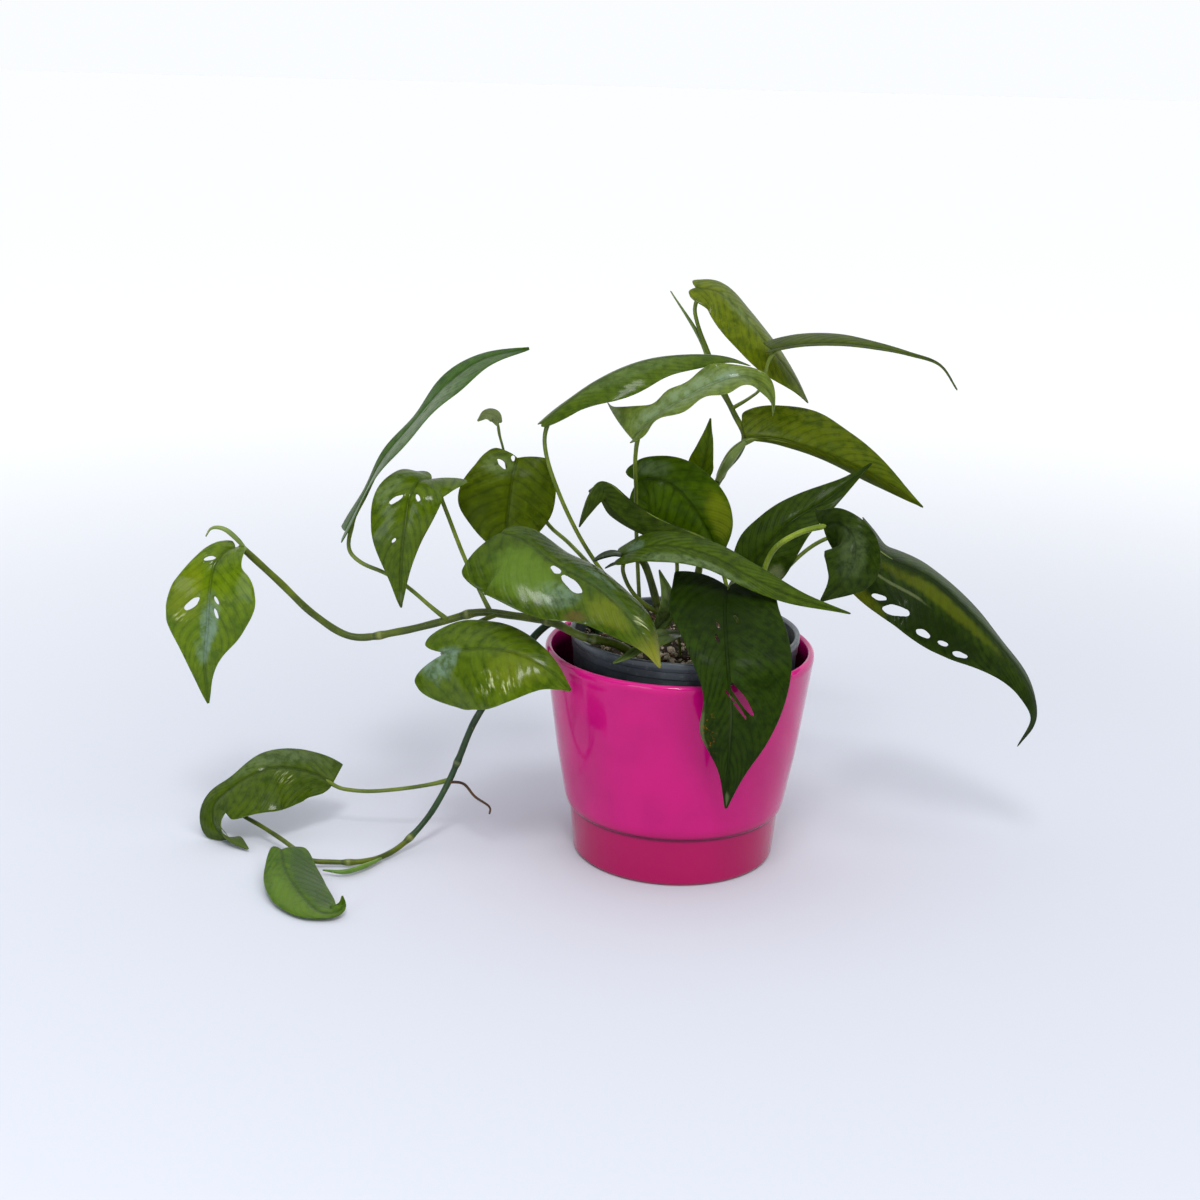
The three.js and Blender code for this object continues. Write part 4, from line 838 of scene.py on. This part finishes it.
# How wide a blade's half is at a share t of its length, from seven widths at equal steps
def halfWidth(widths, t):
    spot = min(max(t, 0.0), 1.0) * (len(widths) - 1)
    index = min(int(spot), len(widths) - 2)
    here, nextWidth, part = widths[index], widths[index + 1], spot - index
    if index == 0:
        return here + (nextWidth - here) * math.sqrt(part)
    before = widths[index - 1]
    after = widths[index + 2] if index + 2 < len(widths) else 2 * nextWidth - here
    slopeHere, slopeNext = (nextWidth - before) / 2, (after - here) / 2
    square, cube = part ** 2, part ** 3
    return ((2 * cube - 3 * square + 1) * here + (cube - 2 * square + part) * slopeHere
            + (3 * square - 2 * cube) * nextWidth + (cube - square) * slopeNext)


# A blade's own half width, never less than a thin tip
def halfAt(leaf, side, t):
    return max(halfWidth(leaf["half"][side], t), bladeLook["leastHalfMm"])


# The way the upper side looks at t
def facing(leaf, t):
    faces = leaf["faces"]
    spot = min(max(t, 0.0), 1.0) * (len(faces) - 1)
    index = min(int(spot), len(faces) - 2)
    return Vector(faces[index]).normalized().lerp(Vector(faces[index + 1]).normalized(), spot - index)


# How far a lobe reaches back at (t, v)
def lobeBack(leaf, t, v):
    return leaf["lobe"][0 if v < 0 else 1] * (1 - (1 - abs(v)) ** 2) * max(1 - 1.6 * t, 0) ** 2


# A point of the blade: t from the stalk to the tip, v from the left edge to the right one
def bladePoint(leaf, t, v):
    side = 0 if v < 0 else 1
    reach = abs(v)
    path = leaf["path"]
    half = halfAt(leaf, side, t)
    along = t - lobeBack(leaf, t, v) / path.length
    share = min(max(along, 0.0), 1.0)
    spot, tangent = path.at(share)
    spot = spot + tangent * (along - share) * path.length
    right = tangent.cross(facing(leaf, along)).normalized()
    upper = right.cross(tangent)
    fold = math.radians(leaf["fold"][side])
    bend = math.radians(leaf["curl"][side]) * reach * half / max(leaf["half"][side])
    reached = reach * half
    out, up = reached * math.cos(fold), reached * math.sin(fold)
    if abs(bend) > 1e-3:
        out = reached * (math.sin(fold + bend) - math.sin(fold)) / bend
        up = reached * (math.cos(fold) - math.cos(fold + bend)) / bend
    height, count, shift = leaf["wave"]
    up += height * reach ** 2 * math.sin(2 * math.pi * (count * t + shift + 0.4 * side))
    return spot + right * math.copysign(out, v if v else 1.0) + upper * up


def bladeNormal(leaf, t, v):
    low, high = max(t - 0.01, 0), min(t + 0.01, 0.995)
    along = bladePoint(leaf, max(high, low + 0.01), v) - bladePoint(leaf, low, v)
    t = min(t, 0.98)
    across = bladePoint(leaf, t, min(v + 0.05, 1)) - bladePoint(leaf, t, max(v - 0.05, -1))
    return across.cross(along).normalized()


# Which lateral vein a place is on: whole numbers are on a vein
def veinPhase(leaf, t, v):
    reach = abs(v)
    return leaf["veins"] * (t - bladeLook["sweep"] * reach ** 1.25) + (0.5 if v > 0 else 0.0)


# Opens an oval slit at (t, v), long and wide in mm, turned from the midrib
def cutSlit(bm, leaf, slit):
    t0, v0, long, wide, turn = slit
    centre, normal = bladePoint(leaf, t0, v0), bladeNormal(leaf, t0, v0)
    along = (bladePoint(leaf, t0 + 0.02, v0) - bladePoint(leaf, t0 - 0.02, v0)).normalized()
    along = Matrix.Rotation(math.radians(turn), 3, normal) @ along
    across = normal.cross(along)
    length = leaf["path"].length

    def flat(place):
        offset = bladePoint(leaf, place[1], place[0]) - centre
        return Vector((offset.dot(along), offset.dot(across)))

    def isNear(place, margin):
        if abs(place[1] - t0) * length > long / 2 + 12:
            return False
        spot = flat(place)
        return (spot.x / (long / 2 + margin)) ** 2 + (spot.y / (wide / 2 + margin)) ** 2 < 1

    close = [face for face in bm.faces if isNear(face.calc_center_median(), 2.0)]
    edges = list({edge for face in close for edge in face.edges})
    bmesh.ops.subdivide_edges(bm, edges=edges, cuts=3, use_grid_fill=True)
    inside = [face for face in bm.faces if isNear(face.calc_center_median(), 0.0)]
    rim = {vert for face in inside for vert in face.verts}
    bmesh.ops.delete(bm, geom=inside, context="FACES")
    step = 0.004
    for vert in rim:
        if not vert.is_valid:
            continue
        spot = flat(vert.co)
        angle = math.atan2(spot.y / wide, spot.x / long)
        ragged = 1 + 0.05 * math.sin(3 * angle + t0 * 40) + 0.04 * math.sin(5 * angle + v0 * 30)
        target = Vector((long / 2 * math.cos(angle), wide / 2 * math.sin(angle))) * ragged
        perT = (flat(vert.co + Vector((0, step, 0))) - spot) / step
        perV = (flat(vert.co + Vector((step, 0, 0))) - spot) / step
        area = perT.x * perV.y - perT.y * perV.x
        move = target - spot
        vert.co.y += (move.x * perV.y - move.y * perV.x) / area
        vert.co.x += (perT.x * move.y - perT.y * move.x) / area


# The low relief of a blade: sunken midrib, quilting between the lateral veins
def bladeRelief(leaf, t, v, half):
    out = abs(v) * half
    groove = -bladeLook["grooveMm"] * math.exp(-(out / 1.4) ** 2) * min(1, 5 * (1 - t))
    pillow = abs(math.sin(math.pi * veinPhase(leaf, t, v))) ** 0.7 - 0.6
    taper = min(1, out / 5) * min(1, (half - out) / 5 + 0.15) * min(1, 5 * (1 - t)) * min(1, 8 * t + 0.2)
    return groove + leaf["quilt"] * bladeLook["quilting"] * pillow * taper


# A point moved, where it must be, to stay in the solids' box with half a wall to spare
def insideBox(point):
    margin = 0.45
    return Vector(min(max(p, low * 1000 + margin), high * 1000 - margin)
                  for p, low, high in zip(point, *cadBox))


def makeBlade(name, leaf, materials):
    size = min(max(leaf["path"].length / 90, 0.45) ** 0.5, 1.1)
    rows, columns = round(bladeLook["rows"] * size), 2 * round(bladeLook["columns"] * size / 2)
    bm = bmesh.new()
    bmesh.ops.create_grid(bm, x_segments=columns, y_segments=rows, size=1)
    for vert in bm.verts:
        vert.co = (math.copysign(abs(vert.co.x) ** 1.25, vert.co.x), ((vert.co.y + 1) / 2) ** 1.15, 0)
    for slit in leaf.get("slits", []):
        cutSlit(bm, leaf, slit)
    bladeMap, veinMap = bm.loops.layers.uv.new("blade"), bm.loops.layers.uv.new("veins")
    places = {}
    for vert in bm.verts:
        v, t = vert.co.x, vert.co.y
        places[vert] = (t, v, halfAt(leaf, 0 if v < 0 else 1, t))
    for face in bm.faces:
        side = face.calc_center_median().x
        for loop in face.loops:
            t, v, half = places[loop.vert]
            loop[bladeMap].uv = (0.5 + 0.5 * v, t)
            loop[veinMap].uv = (veinPhase(leaf, t, math.copysign(max(abs(v), 1e-5), side)), v * half * 0.01)
    for vert, (t, v, half) in places.items():
        vert.co = bladePoint(leaf, t, v)
    bm.normal_update()
    normals = {vert: vert.normal.copy() for vert in bm.verts}
    for vert, (t, v, half) in places.items():
        vert.co = insideBox(vert.co + normals[vert] * bladeRelief(leaf, t, v, half))
    piece = finishPiece(name.replace("leaf", "blade"), bm, materials, [name])
    shell = piece.modifiers.new("thickness", "SOLIDIFY")
    shell.thickness = bladeLook["thickMm"] * 0.001
    shell.offset = 0
    shell.material_offset = 1
    shell.use_even_offset = False
    addSubdivision(piece)


stalkLook = {"radius": 1.3, "keelTo": 0.86, "keelTip": 0.2, "neck": 0.62}


# The stalk runs on under the blade as its raised midrib
def makeStalk(name, leaf, material):
    radius, tip = leaf.get("stalkRadius", stalkLook["radius"]), stalkLook["keelTip"]
    growth = radius * stalkLook["neck"] - tip
    keel = []
    for part in (1, 0.81, 0.63, 0.465, 0.31, 0.175, 0.06):
        t = leaf.get("keelTo", stalkLook["keelTo"]) * part
        thick = tip + growth * (1 - part) ** 1.3
        keel.append(bladePoint(leaf, t, 0) - bladeNormal(leaf, t, 0) * (0.55 + 0.95 * thick))
    path = Route([*keel, *leaf.get("stalk", [])])
    keelLength = Route(keel).length

    def radiusAt(share):
        reached = share * path.length
        if reached < keelLength:
            return tip + growth * (reached / keelLength) ** 1.3
        below = reached - keelLength
        knee = 0.3 * math.exp(-((below - 4) / 3) ** 2)
        sheath = 0.35 * math.exp(-((path.length - reached) / 9) ** 2)
        return radius * (stalkLook["neck"] + 0.3 * min(below / 6, 1)) + knee + sheath

    bm = bendTube(path, radiusAt, 8, max(round(path.length / 2.6), 6))
    for vert in bm.verts:
        vert.co = insideBox(vert.co)
    addSubdivision(finishPiece(name.replace("leaf", "stalk"), bm, [material], [name]))


# Vines: points of each stem, radius at its two ends, nodes as shares of its length, and side shoots
vines = {
    "left_vine": {
        "points": [(-14, -24, 102), (-22, -27, 113), (-33, -29, 121), (-50, -30, 125), (-66, -20, 129),
            (-87, -10, 129), (-104, -6, 129), (-123, -4, 123), (-145, -4, 117), (-170, -4, 113.5),
            (-189, -4, 124.5), (-207, -5, 142.5), (-226, -8, 162)],
        "radius": (2.4, 1.9), "nodes": [0.16, 0.27, 0.45, 0.64],
        "shoots": [
            {"name": "left_sheath", "skin": "sheath", "radius": (1, 1.5, 0.4),
             "points": [(-221, -8, 157), (-227, -8, 165), (-234, -8, 170.5), (-240, -8, 170.5),
                 (-243, -8, 166)]},
        ],
    },
    "trailing_vine": {
        "points": [(-36, 10, 102), (-44, 9, 117), (-55, 6, 125.5), (-64, 4, 123.5), (-73, 1, 117.5),
            (-84, 0, 103), (-96, 0, 85), (-107, 0, 66), (-115, 0, 45), (-120, -2, 33), (-130, -9, 16),
            (-142, -20, 5), (-152, -32, 2.6), (-163, -39, 2.6), (-177, -41, 3), (-187, -42, 4),
            (-195, -34, 5), (-206, -23, 7), (-219, -12, 9.5), (-229, -6, 12)],
        "radius": (2.4, 1.2), "nodes": [0.28, 0.46, 0.62, 0.75], "olderTo": 2,
        "shoots": [
            {"name": "rolled_leaf", "skin": "rolled_leaf", "radius": (0.8, 2.1, 0.5),
             "points": [(-152, -34, 2.6), (-160, -45, 2.8), (-169, -52, 2.8), (-180, -51, 3)]},
            {"name": "aerial_root", "skin": "root", "radius": (0.9, 0.8, 0.6),
             "points": [(-121, -2, 33), (-112, -6, 34), (-105, -14, 30), (-97, -16, 25), (-97, -20, 23)]},
        ],
    },
    "back_vine": {
        "points": [(2, 22, 102), (6, 24, 122), (11, 34, 149), (15, 47, 177), (22, 52, 193), (30, 55, 203),
            (33, 57, 212), (27, 58, 224), (21, 60, 235)],
        "radius": (2.4, 1.7), "nodes": [0.35, 0.66],
        "shoots": [
            {"name": "back_sheath", "skin": "sheath", "radius": (1, 1.6, 0.4),
             "points": [(27, 58, 224), (17, 61, 240), (8, 64, 262), (-9, 68, 287)]},
            {"name": "winged_sheath", "skin": "sheath", "radius": (1.6, 3.3, 1.2),
             "points": [(19, 49, 189), (23, 48.5, 197), (28, 48, 205), (33, 48, 211)]},
        ],
    },
    "crown_stem_left": {
        "points": [(-26, 2, 102), (-28, 1, 118), (-33, -1, 134), (-42, -3, 152)], "radius": (2.2, 1.6),
        "nodes": [0.5],
    },
    "crown_stem_front": {
        "points": [(-4, -12, 102), (-9, -9, 122), (-12, -8, 134), (-19, -8, 156), (-23, -12, 163)],
        "radius": (2.6, 2), "nodes": [0.5],
        "shoots": [
            {"name": "base_flap_upper", "skin": "dusky_flap", "radius": (0.9, 2.1, 1.6),
             "points": [(-46, -17, 161), (-41, -17, 164), (-36, -17.5, 165.5), (-31.5, -18, 165)]},
            {"name": "base_flap_lower", "skin": "dusky_flap", "radius": (0.4, 1.0, 0.8),
             "points": [(-40, -16, 157), (-36, -16.5, 159.5), (-31.5, -17, 161)]},
        ],
    },
    "crown_stem_right": {
        "points": [(26, -2, 102), (28, -2, 120), (32, 0, 136), (34, 2, 148)], "radius": (2.4, 1.8),
        "nodes": [0.6],
    },
}
# A node's swelling and the dip after it: height, place and width in mm
nodeSwell = [(0.55, 0, 2.4), (-0.22, 3.2, 1.0)]


def makeVine(name, vine, skins):
    path = Route(vine["points"])
    first, last = vine["radius"]

    def radiusAt(share):
        radius = first + (last - first) * share
        for node in vine["nodes"]:
            away = (share - node) * path.length
            radius += sum(high * math.exp(-((away - spot) / wide) ** 2) for high, spot, wide in nodeSwell)
        return radius * (1 + 0.03 * math.sin(share * path.length * 0.35))

    bm = bendTube(path, radiusAt, 10, round(path.length / 1.6), lambda share, x, y: (x, y * 0.94))
    rings = [node * path.length * 0.001 for node in vine["nodes"]]
    older = rings[vine["olderTo"]] if "olderTo" in vine else None
    skin = stemSkin(name + "_skin", "stem", older, rings)
    pieceName = name.replace("vine", "runner").replace("stem", "stalk")
    addSubdivision(finishPiece(pieceName, bm, [skin], [name]))
    for shoot in vine.get("shoots", []):
        makeShoot(shoot, skins[shoot["skin"]], name)


# A side shoot, such as a rolled new leaf, a sheath or an aerial root, thickest in its middle
def makeShoot(shoot, skin, node):
    start, middle, end = shoot["radius"]
    path = Route(shoot["points"])
    swell = middle - (start + end) / 2

    def radiusAt(share):
        return max(start + (end - start) * share + swell * math.sin(math.pi * share) ** 1.5, 0.2)

    def fold(share, x, y):
        return x, y * (0.7 + 0.3 * abs(2 * share - 1))

    bm = bendTube(path, radiusAt, 8, max(round(path.length / 1.5), 8), fold)
    for vert in bm.verts:
        vert.co = insideBox(vert.co)
    addSubdivision(finishPiece(shoot["name"], bm, [skin], [node]))


# Pots and soil: profiles of (radius, height, rounding) in mm, spun about the pot's axis
coverPot = {
    "turns": 128,
    "profile": [
        (0, 0, 0), (51.8, 0, 0.9), (53.2, 1.6, 0.9), (55.4, 26, 0.7), (57.2, 27.6, 0.8), (58.2, 31, 1.6),
        (63, 58, 0), (66.6, 85, 0), (69.2, 105.5, 1.5), (69.9, 109.4, 1.5), (69.7, 112, 1.1),
        (68.3, 113.4, 1.2), (66.7, 112.6, 1.0), (66, 110.6, 1.5), (62.4, 85, 0), (59, 58, 0),
        (51.4, 18, 6), (49, 7.6, 1.5), (46.5, 6, 1.5), (0, 6, 0),
    ],
}
growerPot = {
    "turns": 120, "shift": 2.5,
    "profile": [
        (0, 6.3, 0), (42, 6.3, 0), (43, 7.3, 0.4), (56.4, 102.5, 0.4), (57.8, 103.1, 0.3),
        (58, 112.5, 0.25), (58.7, 112.9, 0.25), (58.7, 116.5, 0.25), (59.1, 116.9, 0.25),
        (59.5, 118.7, 0.5), (59.5, 120.9, 0.35), (58.9, 121.5, 0.35), (57.4, 121.3, 0.4),
        (56.7, 120.4, 0.4), (56.7, 103.5, 0.3), (41.7, 8.6, 0.4), (40.4, 7.6, 0.4), (0, 7.6, 0),
    ],
}
soilBed = {
    "turns": 128, "rings": 26, "level": 113.0, "lumps": 1.1, "crown": 2.2, "crownRadius": 59.5,
    "radius": 56.3, "shift": growerPot["shift"],
}


# A closed profile spun all the way round, with its ring corners rounded
def spinProfile(profile, turns, shift=0.0):
    bm = bmesh.new()
    verts = [bm.verts.new((radius, 0, height)) for radius, height, rounding in profile]
    edges = [bm.edges.new(pair) for pair in zip(verts, verts[1:])]
    bmesh.ops.spin(bm, geom=verts + edges, axis=(0, 0, 1), cent=(0, 0, 0), dvec=(0, 0, 0),
                   angle=2 * math.pi, steps=turns, use_merge=True)
    bmesh.ops.remove_doubles(bm, verts=bm.verts, dist=1e-4)
    bmesh.ops.recalc_face_normals(bm, faces=bm.faces)
    for radius, height, rounding in profile:
        if rounding:
            corner = Vector((radius, height))
            onRing = {v for v in bm.verts if (Vector((v.co.xy.length, v.co.z)) - corner).length < 1e-3}
            ring = [e for e in bm.edges if onRing.issuperset(e.verts)]
            bmesh.ops.bevel(bm, geom=ring, offset=rounding, offset_type="WIDTH", segments=4, profile=0.5,
                            affect="EDGES", material=-1, clamp_overlap=True)
    bmesh.ops.translate(bm, vec=(shift, 0, 0), verts=bm.verts)
    return bm


def makePots(glaze, inside, plastic):
    bm = spinProfile(coverPot["profile"], coverPot["turns"])
    for face in bm.faces:
        face.material_index = int(face.normal.xy.dot(face.calc_center_median().xy) < 0)
    finishPiece("glazed_pot", bm, [glaze, inside], ["cover_pot"])
    bm = spinProfile(growerPot["profile"], growerPot["turns"], growerPot["shift"])
    finishPiece("plastic_pot", bm, [plastic], ["nursery_pot"])


# Height of the soil at a place, the grower's pot standing at shift
def soilTop(x, y):
    x = x - soilBed["shift"]
    lump = math.sin(0.31 * x + 1.1) * math.cos(0.27 * y - 0.4) + 0.6 * math.sin(0.5 * x - 0.43 * y)
    crown = soilBed["crown"] * (1 - (math.hypot(x, y) / soilBed["crownRadius"]) ** 2)
    return soilBed["level"] + soilBed["lumps"] * lump + crown


def makeSoil(skin):
    bed = soilBed
    profile = [(0, 8, 0), (39, 8, 0), (56, 103.5, 0), (bed["radius"], bed["level"] - 0.5, 0)]
    rings = bed["rings"]
    profile += [(bed["radius"] * (1 - i / rings), bed["level"], 0) for i in range(1, rings + 1)]
    bm = spinProfile(profile, bed["turns"], bed["shift"])
    for vert in bm.verts:
        if vert.co.z > bed["level"] - 0.2:
            crumb = noise.noise(vert.co * 0.45) * 1.3 + noise.noise(vert.co * 1.1) * 0.7
            vert.co.z = soilTop(vert.co.x, vert.co.y) + crumb - 0.3
    finishPiece("soil_bed", bm, [skin], ["potting_soil"])


# Loose bits on the soil: each kind has its number, sizes in mm and how flat it lies
soilBits = {
    "perlite_bits": {"count": 520, "size": (0.8, 2.8), "flat": 0.75, "skin": "perlite"},
    "bark_bits": {"count": 300, "size": (1.0, 3.4), "flat": 0.45, "skin": "bark"},
    "sand_bits": {"count": 320, "size": (0.5, 1.4), "flat": 0.8, "skin": "sand"},
}
# The larger bits, each as (x, y, size), and one flat chip
beads = [
    (-5, -17, 4.6), (-8.4, -27, 3.8), (-3.8, -27, 3.6), (-7.6, -33.5, 3.4), (-10.5, -24, 3.2),
    (-5, -35, 3.8), (4, -34, 3.4), (1, 8.6, 3), (1.2, -13.3, 3), (-22.5, -27, 3), (-21, -30, 3.4),
    (-10.5, -11, 3), (3, 0, 3.2), (-1, -7, 3), (5, -23, 3.2), (0, -40, 4), (9, -41, 4), (1, -45, 3.6),
    (6, -46, 3.2), (14, -37, 3.4), (-4, -47, 3.6), (-12, -40, 3), (38, -31, 4), (45, -19, 3.4),
    (-33, 30, 4), (10, 42, 4.4), (-38, -17, 3), (-40, -12, 2.6),
]
barkChip = {"place": (2, -28), "size": (9, 4, 2.4), "tilt": -0.3, "turn": 0.35}


def addBit(bm, place, size, flat, detail=1):
    made = bmesh.ops.create_icosphere(bm, subdivisions=detail, radius=size / 2)["verts"]
    seed = Vector(place) * 3.7
    for vert in made:
        vert.co *= 1 + 0.38 * noise.noise(vert.co.normalized() * 1.7 + seed)
    turn = [random.uniform(low, high) for low, high in ((-0.5, 0.5), (-0.5, 0.5), (0, 6.28))]
    stretch = Matrix.Diagonal((random.uniform(0.9, 1.5), random.uniform(0.7, 1.0), flat))
    for vert in made:
        vert.co = Euler(turn).to_matrix() @ (stretch @ vert.co) + Vector(place)


def makeSoilBits(skins):
    for name, kind in soilBits.items():
        bm = bmesh.new()
        least, most = kind["size"]
        for i in range(kind["count"]):
            angle, out = random.uniform(0, 2 * math.pi), 54.5 * math.sqrt(random.random())
            x, y = soilBed["shift"] + out * math.cos(angle), out * math.sin(angle)
            size = least + (most - least) * random.random() ** 2
            addBit(bm, (x, y, soilTop(x, y) + size * 0.2), size, kind["flat"])
        finishPiece(name, bm, [skins[kind["skin"]]], smooth=False)
    bm = bmesh.new()
    for x, y, size in beads:
        addBit(bm, (x, y, soilTop(x, y) + 0.3), size, 0.85, 2)
    finishPiece("perlite_beads", bm, [skins["perlite"]], ["potting_soil"])
    bm = bmesh.new()
    bmesh.ops.create_cube(bm, size=1)
    bmesh.ops.scale(bm, vec=barkChip["size"], verts=bm.verts)
    bmesh.ops.subdivide_edges(bm, edges=bm.edges, cuts=4, use_grid_fill=True)
    for vert in bm.verts:
        vert.co += noise.noise_vector(vert.co * 0.5) * 0.8
    turn = Euler((barkChip["tilt"], 0, barkChip["turn"])).to_matrix()
    x, y = barkChip["place"]
    for vert in bm.verts:
        vert.co = turn @ vert.co + Vector((x, y, soilTop(x, y)))
    finishPiece("bark_chip", bm, [skins["bark"]], ["potting_soil"], smooth=False)


# Every leaf has skins of its own, from its tone and tint
def makeLeaves(petioles):
    for name, leaf in leaves.items():
        leaf["path"] = Route(leaf["midrib"])
        leaf["veins"] = max(round(leaf["path"].length / bladeLook["veinGapMm"]), 4)
        tone = dict(leafTones[leaf["tone"]])
        for part in ("light", "deep", "rib", "glow"):
            tone[part] = [c * k for c, k in zip(tone[part], leaf["tint"])]
        tone.update({part: leaf[part] for part in ("tip", "tipFrom", "shine") if part in leaf})
        top = leafSkin(name, tone, patches=leaf.get("patches", []))
        below = leafSkin(name + "_under", tone, True)
        makeBlade(name, leaf, [top, below])
        makeStalk(name, leaf, petioles[leaf.get("petiole", "petiole")])


def makeFloor():
    bm = bmesh.new()
    bmesh.ops.create_grid(bm, x_segments=1, y_segments=1, size=floorLook["half"])
    bmesh.ops.translate(bm, vec=(0, 0, -floorLook["dropMm"] * 0.001), verts=bm.verts)
    mesh = bpy.data.meshes.new("floor")
    bm.to_mesh(mesh)
    bm.free()
    mesh.materials.append(floorSkin())
    addObject("floor", mesh)


makeCamera()
makeLights()
makeSky()
bpy.context.scene.view_settings.view_transform = "Standard"
makeFloor()
print("camera, lights and floor made")

stemSkins = {tone: stemSkin(tone + "_skin", tone) for tone in stemTones if tone != "stem"}
makeLeaves(stemSkins)
print("leaves made:", len(leaves))
for vineName, vineShape in vines.items():
    makeVine(vineName, vineShape, stemSkins)
print("vines made:", len(vines))
makePots(glazeSkin("magenta_glaze"), glazeSkin("inner_glaze", True), plasticSkin())
makeSoil(soilSkin("potting_mix"))
makeSoilBits({name: soilSkin(name) for name in ("perlite", "bark", "sand")})
print("pots and soil made")
